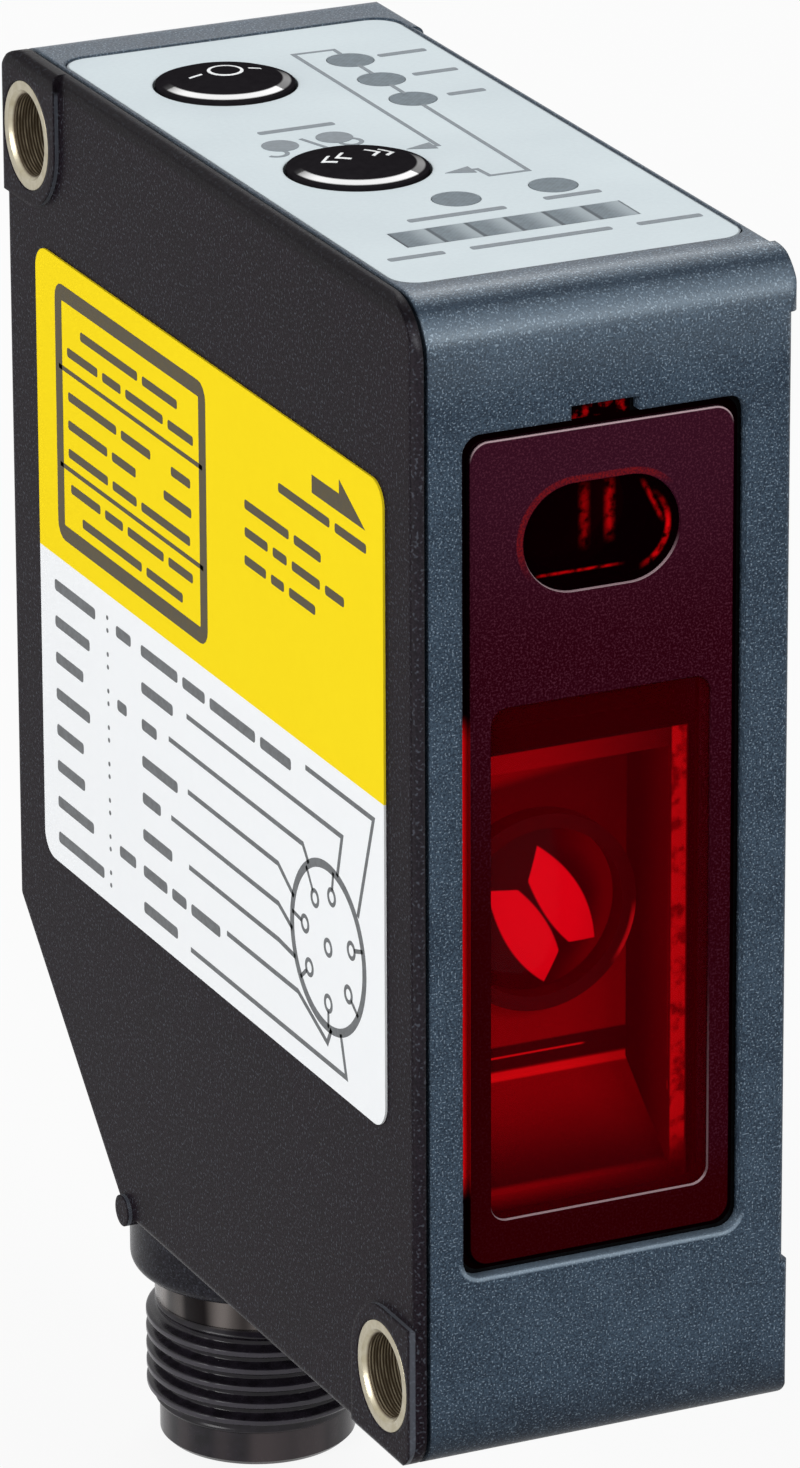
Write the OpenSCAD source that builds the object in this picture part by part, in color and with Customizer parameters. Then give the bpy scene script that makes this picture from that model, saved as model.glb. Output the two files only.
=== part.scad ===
/* [Housing] */
// Width of the housing between its two flat sides
body_w = 20.4; // [19.4:0.1:23]
// Depth of the housing from the front face to the rear face
body_d = 50; // [48:0.5:58]
// Height of the housing
body_h = 61; // [58:0.2:68]
// Leg of the 45 degree slant at the lower rear corner
slant_leg = 14.15; // [13:0.05:16]
// Radius of the front top edge
front_top_r = 3; // [2:0.1:3.4]
// Radius of the rear top edge
rear_top_r = 2.5; // [1.5:0.1:3.2]
// Radius of the front bottom edge
front_bottom_r = 2.2; // [1:0.1:2.6]
// Radius at both ends of the slant
slant_r = 1.2; // [0.5:0.1:2]
// Radius of the long edges round the two sides
edge_r = 0.5; // [0.3:0.05:0.55]
// Wall of the housing
wall = 1.6; // [1.3:0.1:2]
// Wall behind the front face, thicker to take the window
front_wall = 3; // [2.7:0.1:3.5]
// Wall under the top panel
top_wall = 2.2; // [1.8:0.1:2.6]
// Smallest radius in the corners of the cavity
inner_r = 0.6; // [0.3:0.1:1]

/* [Side cover] */
// Thickness of the cover at its visible rim
cover_t = 0.55; // [0.55:0.05:0.8]
// Width of the shadow groove between cover and housing
groove_w = 0.24; // [0.1:0.02:0.3]
// Depth of the shadow groove
groove_depth = 0.6; // [0.3:0.1:0.8]
// Height of the locating lip inside the housing
lip_h = 1.2; // [0.8:0.1:1.6]
// Thickness of the locating lip
lip_t = 0.8; // [0.6:0.1:1.2]
// Clearance between the lip and the housing
lip_clear = 0.15; // [0.1:0.01:0.25]
// Width of the cover seal
seal_w = 0.45; // [0.3:0.05:0.5]
// Thickness of the cover seal
seal_t = 0.4; // [0.3:0.05:0.5]
// Land between the seal and the cavity
seal_land = 0.2; // [0.15:0.05:0.25]
// Diameter of the round nub at the lower end of the slant
nub_d = 1.7; // [1.2:0.1:2]
// Height of the nub's middle over the bottom face
nub_up = 0.5; // [0.3:0.05:0.8]
// Depth of the nub's middle inside the slant
nub_sink = 0.2; // [0.1:0.05:0.4]

/* [Side label] */
// Bare margin above the label
label_from_top = 9.85; // [9:0.1:12]
// Bare margin below the label
label_from_bottom = 17.4; // [16:0.1:22]
// Bare margin in front of the label
label_from_front = 3.3; // [2:0.1:6]
// Bare margin behind the label
label_from_rear = 4.05; // [2:0.1:6]
// Corner radius of the label
label_r = 1.3; // [0.5:0.1:3]
// Thickness of the label foil
label_t = 0.12; // [0.08:0.01:0.2]

/* [Mounting bushes] */
// Bore of each mounting bush, clear of an M4 screw
bore_d = 4.3; // [4:0.1:4.6]
// Outside diameter of each bush
bush_d = 5.7; // [5.4:0.1:6]
// Distance from the front or rear face to a bore axis
bore_from_front = 3.5; // [3.3:0.1:4.5]
// Distance from the bottom or top face to a bore axis
bore_from_bottom = 4.2; // [3.8:0.05:5]
// Ring of housing left round a bush on its raised pad
pad_ring = 0.85; // [0.8:0.05:1.2]
// Height of the raised pads over the side faces
pad_proud = 0.28; // [0.15:0.01:0.4]
// Radial clearance of a bush in its hole
bush_clear = 0.03; // [0.02:0.01:0.06]
// Lead-in chamfer at each end of a bore
bush_lead = 0.25; // [0.1:0.05:0.4]
// Length of the third pad, at the front top corner of the mounting side
rest_pad_len = 2.3; // [1.5:0.1:4]
// Height of the third pad
rest_pad_h = 3; // [2:0.1:4]

/* [Window] */
// Width of the window recess
window_w = 15.3; // [14.6:0.1:16]
// Distance from the top face to the window recess
window_from_top = 6.8; // [6.4:0.1:8]
// Distance from the bottom face to the window recess
window_from_bottom = 10.2; // [9.6:0.1:13]
// Corner radius of the window recess
window_r = 1; // [0.5:0.1:1.5]
// Width of the tab at the top of the window
tab_w = 3.65; // [2.5:0.05:5]
// Height of the tab at the top of the window
tab_h = 0.7; // [0.4:0.05:1]
// Depth of the window's face below the front face
window_sink = 0.3; // [0.1:0.05:0.5]
// Height of the matt face over the window's flange
window_raise = 0.35; // [0.2:0.05:0.5]
// Thickness of the window's flange
window_t = 0.9; // [0.7:0.1:1.1]
// Width of the clear flange round the matt face
flange_w = 0.35; // [0.2:0.05:0.5]
// Gap round the window in its recess
window_gap = 0.2; // [0.1:0.02:0.3]
// Thickness of the window gasket
gasket_t = 0.3; // [0.2:0.05:0.4]
// Width of the ledge that carries the window
ledge_w = 1.2; // [1:0.1:1.5]
// Depth of the polished panes in the matt face
pane_depth = 0.15; // [0.1:0.02:0.2]
// Width of the sender's oval pane
oval_w = 8.5; // [7:0.1:10]
// Height of the sender's oval pane
oval_h = 5.55; // [4.5:0.05:6.5]
// Width of the receiver's pane
pane_w = 11.95; // [11:0.05:12.5]
// Distance from the top face to the receiver's pane
pane_from_top = 21.1; // [20:0.1:23]
// Distance from the lower edge of the window recess to the receiver's pane
pane_margin = 2.7; // [2:0.1:4]
// Corner radius of the receiver's pane
pane_r = 0.9; // [0.5:0.1:1.5]

/* [Top panel] */
// Distance from the front face to the panel
panel_from_front = 3.5; // [3.4:0.1:5]
// Distance from the rear face to the panel
panel_from_rear = 4.7; // [4:0.1:6]
// Rim of housing beside the panel
panel_rim = 0.5; // [0.5:0.05:1]
// Rim of housing between the panel and the side cover
panel_split_rim = 0.15; // [0.1:0.05:0.4]
// Corner radius of the panel
panel_r = 1.5; // [0.8:0.1:2.5]
// Thickness of the panel foil
panel_t = 0.35; // [0.25:0.05:0.5]
// Depth of the panel's surface below the top face
panel_sink = 0.06; // [0.02:0.02:0.15]
// Gap round the panel in its recess
panel_gap = 0.14; // [0.05:0.01:0.15]

/* [Keys and indicators] */
// Diameter of each key
key_d = 7.15; // [6.4:0.05:7.8]
// Height of a key's crown over the top face
key_proud = 0.75; // [0.7:0.05:1.2]
// Radius of the key's domed crown
key_dome_r = 10; // [9.5:0.5:30]
// Gap round a key in its hole
key_gap = 0.15; // [0.12:0.01:0.3]
// Travel of a key
key_travel = 0.35; // [0.2:0.05:0.45]
// Width of the flange that retains a key
key_flange_w = 0.75; // [0.6:0.05:1]
// Thickness of the flange that retains a key
key_flange_t = 0.7; // [0.5:0.05:0.9]
// Length of the stem under a key
key_stem_len = 0.5; // [0.3:0.05:0.6]
// Distance from the left face to the middle of the keys
key_from_left = 7.1; // [6.8:0.1:7.6]
// Distance from the rear face to the rear key
set_from_rear = 12.3; // [12:0.1:14]
// Distance from the front face to the middle key
select_from_front = 21.6; // [21:0.1:24]
// Diameter of each round indicator
lamp_d = 2.5; // [2:0.05:2.8]
// Distance of the indicator row to the right of the middle plane
lamp_offset = 4.5; // [4.2:0.1:5]
// Distance from the rear face to the middle of the row of three
lamp_row_from_rear = 14.85; // [14:0.05:16]
// Pitch of the row of three indicators
lamp_pitch = 3.8; // [3.4:0.1:4.2]
// Distance from the front face to the two front indicators
lamp_front = 15.05; // [14.6:0.05:15.4]
// Distance of the second front indicator from the middle plane
lamp_second = 0.8; // [0.2:0.1:1.5]
// Length of the bar display across the panel
bar_len = 12.6; // [11:0.1:13.4]
// Width of the bar display
bar_w = 2.45; // [2:0.05:2.8]
// Distance from the front face to the bar display
bar_from_front = 10.15; // [9.5:0.05:10.5]
// Number of segments in the bar display
bar_count = 6; // [4:1:8]
// Gap round the light guide in the panel and the top wall
guide_gap = 0.04; // [0.02:0.01:0.08]
// Thickness of the web that joins the light guide
guide_web_t = 0.7; // [0.5:0.05:0.9]

/* [Boards] */
// Clearance left under the stem of a pressed key
press_clear = 0.15; // [0.1:0.01:0.3]
// Thickness of each circuit board
board_t = 1; // [0.8:0.1:1.2]
// Gap round a board in the housing
board_gap = 0.5; // [0.3:0.05:0.8]
// Width of the shelf that carries the display board
shelf_w = 1.4; // [1:0.1:1.8]
// Height of the shelf
shelf_h = 1.2; // [0.8:0.1:1.4]
// Side of each key switch
switch_w = 4.8; // [4:0.1:5.4]
// Height of each key switch
switch_h = 0.5; // [0.4:0.05:0.55]
// Height of each indicator lamp
lamp_h = 0.75; // [0.5:0.05:0.9]
// Side of the processor on the main board
processor_w = 9; // [7:0.2:10]

/* [Optics] */
// Gap between the optics frame and the front wall
optics_gap = 0.2; // [0.1:0.05:0.4]
// Distance from the top face to the laser axis
laser_from_top = 12.9; // [12.4:0.1:13.4]
// Diameter of the laser holder
laser_d = 9; // [8:0.1:9.4]
// Length of the laser holder
laser_len = 14; // [12.6:0.2:16]
// Wall of the arm round the laser holder
laser_arm = 0.9; // [0.7:0.1:1]
// Diameter of the collimator lens
collimator_d = 6; // [5.4:0.1:6.6]
// Distance from the top face to the receiver's hood
hood_from_top = 24.6; // [24:0.1:26]
// Wall of the receiver's hood
hood_wall = 0.95; // [0.7:0.05:1.2]
// Depth of the receiver's hood
hood_depth = 4.8; // [4.2:0.1:5.6]
// Distance from the top face to the receiver lens
lens_from_top = 35; // [34:0.1:36]
// Diameter of the receiver lens
lens_d = 9.6; // [9:0.1:10]
// Thickness of the receiver lens at its rim
lens_t = 1.6; // [1.2:0.1:2]
// Radius of the receiver lens's front face
lens_dome_r = 14; // [10:0.5:20]
// Lap of the lens ring over the rim of the receiver lens
lens_ring_lap = 0.35; // [0.2:0.05:0.5]
// Height of the lens ring
lens_ring_h = 1.1; // [0.8:0.1:1.4]
// Distance from the front face to the image sensor's board
sensor_from_front = 26; // [24:0.2:26.4]
// Radial clearance of lenses, holder and screws in their seats
seat_clear = 0.04; // [0.02:0.01:0.06]
// Thickness of the ears that fix the optics frame
ear_t = 1.8; // [1.4:0.1:2.2]
// Radius of the ears and of the posts under them
ear_r = 2.4; // [2.2:0.1:2.6]
// Shank diameter of the optics screws
screw_d = 2; // [1.6:0.1:2.2]

/* [Swivel connector] */
// Diameter of the elbow
elbow_d = 13.6; // [13.2:0.1:14.4]
// Distance from the rear face to the middle of the swivel on the slant
swivel_from_rear = 7.8; // [6.8:0.05:8]
// Distance from the middle of the swivel down to the end of the elbow
elbow_drop = 13.05; // [12.6:0.05:14.4]
// Rounding of the elbow's lower edge
elbow_r = 0.9; // [0.4:0.1:1.2]
// Gap between the elbow and the slant
swivel_gap = 0.3; // [0.2:0.05:0.5]
// Diameter of the spigot that turns in the housing
spigot_d = 8; // [7.4:0.1:8.6]
// Radial clearance of the spigot
spigot_clear = 0.08; // [0.05:0.01:0.1]
// Passage for wires through the spigot
passage_d = 4; // [3:0.1:4.4]
// Length of the bearing behind the slant
bearing_len = 3.4; // [3:0.1:4]
// Wall of the bearing behind the slant
bearing_wall = 2; // [1.5:0.1:2.4]
// Section diameter of the swivel seal
oring_d = 1.1; // [0.9:0.05:1.2]
// Thickness of the retaining clip
clip_t = 0.7; // [0.5:0.05:0.9]
// Outside diameter of the retaining clip
clip_d = 11; // [10.4:0.1:11.6]
// Axial play of the swivel
swivel_play = 0.15; // [0.1:0.01:0.25]
// Thread diameter of the connector
thread_d = 12; // [11.6:0.1:12.4]
// Thread pitch
thread_pitch = 1; // [0.8:0.05:1.1]
// Number of thread crests
thread_turns = 6; // [4:1:6]
// Depth of the thread
thread_depth = 0.58; // [0.45:0.02:0.65]
// Neck between the elbow and the thread
neck_len = 1.8; // [1.4:0.1:2.4]
// Diameter of the neck
neck_d = 11; // [10.8:0.1:11.2]
// Diameter of the plain tip
tip_d = 10.6; // [10.4:0.1:10.9]
// Length of the plain tip
tip_len = 2; // [1.6:0.1:2.6]
// Bore of the socket in the tip
socket_d = 8.8; // [8.6:0.1:9]
// Depth of the socket
socket_depth = 7.4; // [6.6:0.1:8]
// Length of the shell inside the elbow
shell_root = 4.4; // [3.6:0.1:4.8]
// Diameter of each contact pin
pin_d = 0.8; // [0.6:0.05:0.9]
// Pitch circle of the seven outer pins
pin_circle_d = 5.5; // [5:0.1:5.8]
// Distance of the pin tips inside the mouth
pin_sink = 1.3; // [1:0.1:2]

/* [Hidden] */
$fn = 64;

// The origin is on the lower bore's axis, half way across the housing
left_x = -body_w / 2;
right_x = body_w / 2;
front_y = -bore_from_front;
rear_y = front_y + body_d;
bottom_z = -bore_from_bottom;
top_z = bottom_z + body_h;
split_x = left_x + cover_t + groove_w;
inner_x = right_x - wall;
pad_r = bush_d / 2 + pad_ring;
bore_spots = [[0, 0, 180], [rear_y - bore_from_front, top_z - bore_from_bottom, 0]];
bush_len = body_w + 2 * pad_proud;
nub_y = rear_y - slant_leg + nub_up - nub_sink * sqrt(2);
past = 1;

// Places measured from the front face and down from the top face
function from_front(d) = front_y + d;
function from_top(d) = top_z - d;
function side_point(p) = [from_front(p[0]), from_top(p[1])];
function side_points(list) = [for (p = list) side_point(p)];
// Height of a dome of radius r over its rim at radius rim
function dome_rise(r, rim) = r - sqrt(r * r - rim * rim);

window_floor = window_sink + window_raise + window_t + gasket_t;
window_low = body_h - window_from_bottom;
opening_half = window_w / 2 - ledge_w;
opening_top = window_from_top + ledge_w + tab_h;
opening_low = window_low - ledge_w;

panel_pocket = panel_t + panel_sink;
lamp_row_from_front = body_d - lamp_row_from_rear;
lamp_spots = [for (i = [-1 : 1]) [lamp_offset, lamp_row_from_front + i * lamp_pitch],
              [lamp_offset, lamp_front], [-lamp_second, lamp_front]];
bar_pitch = bar_len / bar_count;
bar_spots = [for (i = [0 : bar_count - 1]) (i + 0.5) * bar_pitch - bar_len / 2];
key_x = left_x + key_from_left;
key_spots = [[key_x, body_d - set_from_rear], [key_x, select_from_front]];
guide_margin = 0.4;

board_drop = key_flange_t + key_stem_len + key_travel + press_clear + switch_h;
board_top = top_wall + board_drop;
board_low = board_top + board_t;
display_front = front_wall + 2 * board_gap;
display_rear = body_d - bore_from_front - pad_r - board_gap;
display_left = split_x + lip_h + board_gap;
display_right = inner_x - board_gap;

hood_clear = 0.25;
hood_half = opening_half - hood_clear;
hood_front = front_wall + optics_gap;
hood_back = hood_front + hood_depth;
hood_low = opening_low + hood_clear;
hood_slope = 1;
frame_step = 0.4;
frame_x = hood_half + frame_step;
ear_x = frame_x - ear_t;
laser_r = laser_d / 2;
laser_sink = 1;
laser_front = hood_front + laser_sink;
laser_back = laser_front + laser_len;
collimator_seat = laser_front + 2.6;
beam_ledge = 0.8;
diode_base_t = 1.2;
arm_front = laser_front + 2 * laser_sink;
arm_back = laser_back - laser_sink;
arm_half = laser_r + laser_arm;
fit = 0.02;
lens_ring_r = hood_half - hood_wall - seat_clear;
lens_ring_bore = lens_d / 2 - lens_ring_lap;
lens_rim = hood_back + dome_rise(lens_dome_r, lens_d / 2) - dome_rise(lens_dome_r, lens_ring_bore) + fit;
lens_seat = lens_rim + lens_t;
lens_ledge = 0.4;
passage_r = lens_d / 2 - lens_ledge;
chamber_half = passage_r - lens_ledge;
chamber_margin = 1.6;
sensor_half = 4.5;
sensor_drop = 4.2;
sensor_centre = lens_from_top + sensor_drop;
floor_back = lens_from_top + lens_d / 2 + sensor_drop;
frame_low = sensor_centre + sensor_half + chamber_margin + wall;
ear_gap = 0.2;
ear_spots = [[arm_back + ear_r + 2 * ear_gap, laser_from_top],
             [sensor_from_front + board_t + ear_r + ear_gap, sensor_centre + sensor_half],
             [hood_back + 2.5 * ear_r, frame_low + ear_r + ear_gap]];
screw_r = screw_d / 2;
screw_head_r = screw_r * 1.8;
screw_head_h = screw_d * 0.6;

main_front = ear_spots[1][0] + ear_r + board_gap;
main_rear = body_d - wall - board_gap;
main_top = bore_from_bottom + pad_r + board_gap;
main_low = body_h - slant_leg - wall - board_gap;
main_x = frame_x - board_t;
board_post_r = screw_d;
main_holes = [[main_front + board_post_r, main_top + board_post_r],
              [main_rear - board_post_r, main_low - board_post_r]];
main_mid = (main_front + main_rear) / 2;
header_front = main_holes[0][0] + screw_head_r + board_gap;
header_t = 2;

swivel_y = rear_y - swivel_from_rear;
swivel_z = bottom_z + slant_leg - swivel_from_rear;
elbow_low = swivel_z - elbow_drop;
spigot_r = spigot_d / 2;
bearing_r = spigot_r + bearing_wall;
clip_z = -bearing_len - swivel_play - clip_t;
clip_bite = 0.5;
spigot_end = clip_z - clip_t;
oring_r = oring_d / 2;
oring_ring_r = spigot_r + spigot_clear / 2 - oring_r;
oring_z = -bearing_len / 2;
thread_top = elbow_low - neck_len;
thread_low = thread_top - thread_turns * thread_pitch;
tip_low = thread_low - tip_len;
shell_top = elbow_low + shell_root;
insert_face = tip_low + socket_depth;
insert_sink = 1;
insert_top = shell_top - insert_sink;
groove_play = 0.2;
pin_tail = 1.5;

// Extrusions across the housing, from front to rear and upwards
module along_x(x0, x1) {
  translate([x0, 0, 0]) rotate([90, 0, 90]) linear_extrude(x1 - x0) children();
}

module along_y(y0, y1) {
  translate([0, y1, 0]) rotate([90, 0, 0]) linear_extrude(y1 - y0) children();
}

module along_z(z0, z1) {
  translate([0, 0, z0]) linear_extrude(z1 - z0) children();
}

// What a fillet of radius r takes off corner p between its neighbours a and b
module corner_waste(a, p, b, r) {
  u = (a - p) / norm(a - p);
  v = (b - p) / norm(b - p);
  half = acos(u * v) / 2;
  run = r / tan(half);
  centre = p + (u + v) / norm(u + v) * r / sin(half);
  difference() {
    polygon([p - (u + v) * r * 0.2, p + u * run, centre, p + v * run]);
    translate(centre) circle(r);
  }
}

module rounded_polygon(points, radii) {
  n = len(points);
  difference() {
    polygon(points);
    for (i = [0 : n - 1])
      corner_waste(points[(i + n - 1) % n], points[i], points[(i + 1) % n], radii[i]);
  }
}

module rounded_rect(x0, y0, x1, y1, r) {
  rounded_polygon([[x0, y0], [x1, y0], [x1, y1], [x0, y1]], [r, r, r, r]);
}

// Side view of the housing, moved inwards by inset
module side_outline(inset = 0) {
  shift = inset * (sqrt(2) - 1);
  rounded_polygon(
    [[front_y + inset, bottom_z + inset],
     [rear_y - slant_leg - shift, bottom_z + inset],
     [rear_y - inset, bottom_z + slant_leg + shift],
     [rear_y - inset, top_z - inset],
     [front_y + inset, top_z - inset]],
    [for (r = [front_bottom_r, slant_r, slant_r, rear_top_r, front_top_r]) max(r - inset, inner_r)]);
}

// Raised pad round a bore, filled out to its corner of the housing
module pad_outline(spot, r = pad_r) {
  reach = bore_from_front + bore_from_bottom;
  translate([spot[0], spot[1]]) rotate(spot[2]) {
    circle(r);
    translate([-r, 0]) square([r + reach, reach]);
    translate([0, -r]) square([reach, r + reach]);
  }
}

// Side view of the cavity, moved inwards by inset
module cavity_outline(inset = 0) {
  difference() {
    intersection() {
      side_outline(wall + inset);
      translate([front_y + front_wall + inset, bottom_z])
        square([body_d, body_h - top_wall - inset]);
    }
    for (spot = bore_spots) pad_outline(spot, pad_r + inset);
  }
}

// Housing block of width w with all its long edges rounded
module envelope(w) {
  intersection() {
    along_x(-w / 2, w / 2) side_outline();
    along_z(bottom_z - past, top_z + past) rounded_rect(-w / 2, front_y, w / 2, rear_y, edge_r);
    along_y(front_y - past, rear_y + past) rounded_rect(-w / 2, bottom_z, w / 2, top_z, edge_r);
  }
}

// Housing and cover together, with the raised pads
module closed_body() {
  envelope(body_w);
  intersection() {
    envelope(bush_len);
    along_x(-body_w, body_w) for (spot = bore_spots) pad_outline(spot);
  }
  intersection() {
    envelope(bush_len);
    along_x(0, body_w)
      translate([front_y - past, top_z - rest_pad_h]) square([rest_pad_len + past, rest_pad_h + past]);
  }
}

module bush_holes() {
  for (spot = bore_spots)
    translate([-body_w, spot[0], spot[1]]) rotate([0, 90, 0])
      cylinder(r = bush_d / 2 + bush_clear, h = 2 * body_w);
}

// Frame of the swivel: its middle on the slant, with z pointing out of the housing
module at_swivel() {
  translate([0, swivel_y, swivel_z]) rotate([-135, 0, 0]) children();
}

module window_recess(gap, depth) {
  half = window_w / 2 - gap;
  along_y(front_y - past, front_y + depth) {
    rounded_rect(-half, from_top(window_low - gap), half, from_top(window_from_top + gap), window_r);
    translate([gap - tab_w / 2, from_top(window_from_top + window_r + gap)])
      square([tab_w - 2 * gap, tab_h + window_r]);
  }
}

module panel_area(gap) {
  rounded_rect(split_x + panel_split_rim + gap, from_front(panel_from_front) + gap,
               right_x - panel_rim - gap, rear_y - panel_from_rear - gap, panel_r);
}

module key_holes(extra) {
  for (spot = key_spots)
    translate([spot[0], from_front(spot[1])]) circle(key_d / 2 + key_gap + extra);
}

// Shapes of the indicators and the bar display, grown by grow
module indicator_shapes(grow) {
  for (spot = lamp_spots)
    translate([spot[0], from_front(spot[1])]) circle(lamp_d / 2 + grow);
  translate([-bar_len / 2 - grow, from_front(bar_from_front) - bar_w / 2 - grow])
    square([bar_len + 2 * grow, bar_w + 2 * grow]);
}

module post(spot, r) {
  translate([frame_x, from_front(spot[0]), from_top(spot[1])]) rotate([0, 90, 0])
    cylinder(r = r, h = inner_x - frame_x + wall / 4);
}

module pilot_hole(spot) {
  translate([frame_x - past, from_front(spot[0]), from_top(spot[1])]) rotate([0, 90, 0])
    cylinder(r = screw_r + seat_clear, h = right_x - wall / 2 - frame_x + past);
}

module housing() color([0.28, 0.33, 0.38]) difference() {
  union() {
    difference() {
      closed_body();
      translate([split_x - body_w, front_y - past, bottom_z - past])
        cube([body_w, body_d + 2 * past, body_h + 2 * past]);
      along_x(split_x - past, inner_x) cavity_outline();
    }
    for (spot = ear_spots) post(spot, ear_r);
    for (spot = main_holes) post(spot, board_post_r);
    display_shelf();
    intersection() {
      at_swivel() translate([0, 0, -bearing_len]) cylinder(r = bearing_r, h = bearing_len);
      along_x(split_x + lip_h, inner_x) side_outline(wall / 2);
    }
  }
  bush_holes();
  window_recess(0, window_floor);
  along_y(front_y, from_front(front_wall) + past)
    rounded_rect(-opening_half, from_top(opening_low), opening_half, from_top(opening_top), window_r);
  along_z(top_z - panel_pocket, top_z + past) panel_area(0);
  along_z(from_top(top_wall) - past, top_z) {
    key_holes(0);
    indicator_shapes(0);
  }
  at_swivel() translate([0, 0, -bearing_len - past])
    cylinder(r = spigot_r + spigot_clear, h = bearing_len + 2 * past);
  for (spot = concat(ear_spots, main_holes)) pilot_hole(spot);
}

// Shelf under the display board, along the right wall and the front wall
module display_shelf() {
  along_z(from_top(board_low + shelf_h), from_top(board_low)) {
    translate([inner_x - shelf_w, from_front(front_wall) - wall / 2])
      square([shelf_w + wall / 2, display_rear - front_wall]);
    translate([display_left, from_front(front_wall) - wall / 2])
      square([inner_x - display_left, display_front - front_wall + wall / 2 + shelf_w / 2]);
  }
}

module side_cover() color([0.2, 0.18, 0.2]) difference() {
  union() {
    intersection() {
      closed_body();
      translate([left_x + cover_t - body_w, front_y - past, bottom_z - past])
        cube([body_w, body_d + 2 * past, body_h + 2 * past]);
    }
    along_x(left_x + cover_t / 2, split_x) side_outline(groove_depth);
    along_x(split_x - groove_w, split_x + lip_h) difference() {
      cavity_outline(lip_clear);
      cavity_outline(lip_clear + lip_t);
    }
    translate([left_x - pad_proud, nub_y, bottom_z + nub_up]) rotate([0, 90, 0])
      cylinder(d = nub_d, h = pad_proud + cover_t);
  }
  along_x(split_x - seal_t, split_x + fit) seal_outline(fit);
  bush_holes();
}

module seal_outline(grow) {
  difference() {
    cavity_outline(-seal_land - seal_w - grow);
    cavity_outline(grow - seal_land);
  }
}

module cover_seal() color([0.1, 0.1, 0.1]) along_x(split_x - seal_t, split_x) seal_outline(0);

module side_label() color([0.95, 0.85, 0.2]) along_x(left_x - label_t, left_x)
  rounded_rect(from_front(label_from_front), bottom_z + label_from_bottom,
               rear_y - label_from_rear, from_top(label_from_top), label_r);

// Turned sleeve with a lead-in at both ends of its bore
module bush(spot) color([0.74, 0.72, 0.64])
  translate([-bush_len / 2, spot[0], spot[1]]) rotate([0, 90, 0]) rotate_extrude()
    polygon([[bore_d / 2, bush_lead], [bore_d / 2 + bush_lead, 0], [bush_d / 2, 0],
             [bush_d / 2, bush_len], [bore_d / 2 + bush_lead, bush_len],
             [bore_d / 2, bush_len - bush_lead]]);

module lower_bush() bush(bore_spots[0]);

module upper_bush() bush(bore_spots[1]);

// Red filter with a matt raised face and two polished panes
module front_window() color([0.35, 0.02, 0.06]) difference() {
  face_half = window_w / 2 - window_gap - flange_w;
  union() {
    intersection() {
      window_recess(window_gap, window_floor - gasket_t);
      translate([-body_w, from_front(window_sink + window_raise), bottom_z])
        cube([2 * body_w, window_t, body_h]);
    }
    along_y(from_front(window_sink), from_front(window_sink + window_raise) + fit)
      rounded_rect(-face_half, from_top(window_low - window_gap - flange_w),
                   face_half, from_top(window_from_top + window_gap + flange_w), window_r);
  }
  along_y(front_y, from_front(window_sink + pane_depth)) {
    oval_pane();
    rounded_rect(-pane_w / 2, from_top(window_low - pane_margin),
                 pane_w / 2, from_top(pane_from_top), pane_r);
  }
}

module oval_pane() {
  r = oval_h / 2;
  run = oval_w / 2 - r;
  translate([0, from_top(laser_from_top)]) {
    for (side = [-run, run]) translate([side, 0]) circle(r);
    translate([-run, -r]) square([2 * run, 2 * r]);
  }
}

// Flat ring behind the window's flange with an upstand round the flange's edge
module window_gasket() color([0.06, 0.06, 0.06]) difference() {
  window_recess(0, window_floor);
  window_recess(window_gap, window_floor - gasket_t);
  along_y(front_y - past, from_front(window_sink + window_raise))
    square(2 * body_h, center = true);
  along_y(front_y, from_front(window_floor) + past)
    rounded_rect(-opening_half, from_top(opening_low), opening_half, from_top(opening_top), window_r);
}

module top_panel() color([0.78, 0.83, 0.86])
  along_z(top_z - panel_pocket, top_z - panel_sink) difference() {
    panel_area(panel_gap);
    key_holes(0);
    indicator_shapes(0);
  }

// Clear moulding: a column under each indicator, joined by a web below the top wall
module light_guide() color([0.5, 0.53, 0.56]) {
  along_z(from_top(top_wall), top_z - panel_sink) indicator_shapes(-guide_gap);
  along_z(from_top(top_wall + guide_web_t), from_top(top_wall)) {
    web_left = lamp_offset - lamp_d / 2 - guide_margin;
    web_right = lamp_offset + lamp_d / 2 + guide_margin;
    bar_front = from_front(bar_from_front) - bar_w / 2 - guide_margin;
    web_front = from_front(lamp_front) + lamp_d / 2 + guide_margin;
    web_rear = from_front(lamp_row_from_front) + lamp_pitch + lamp_d / 2 + guide_margin;
    translate([web_left, bar_front]) square([web_right - web_left, web_rear - bar_front]);
    translate([-bar_len / 2, bar_front]) square([bar_len / 2 + web_right, web_front - bar_front]);
  }
}

// Domed cap with a retaining flange under the top wall and a short stem
module key(spot) color([0.13, 0.13, 0.14]) translate([spot[0], from_front(spot[1]), top_z]) {
  rotate_extrude() intersection() {
    translate([0, -top_wall]) square([key_d / 2, top_wall + key_proud]);
    translate([0, key_proud - key_dome_r]) circle(key_dome_r);
  }
  translate([0, 0, -top_wall - key_flange_t])
    cylinder(r = key_d / 2 + key_gap + key_flange_w, h = key_flange_t);
  translate([0, 0, -top_wall - key_flange_t - key_stem_len])
    cylinder(d = key_d / 3, h = key_stem_len + fit);
}

module set_key() key(key_spots[0]);

module select_key() key(key_spots[1]);

module display_board() color([0.1, 0.35, 0.2])
  along_z(from_top(board_low), from_top(board_top))
    translate([display_left, from_front(display_front)])
      square([display_right - display_left, display_rear - display_front]);

module key_switches() color([0.55, 0.55, 0.57])
  for (spot = key_spots) translate([spot[0], from_front(spot[1]), from_top(board_top)]) {
    translate([-switch_w / 2, -switch_w / 2, 0]) cube([switch_w, switch_w, switch_h / 2]);
    cylinder(d = switch_w * 0.6, h = switch_h);
  }

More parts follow.
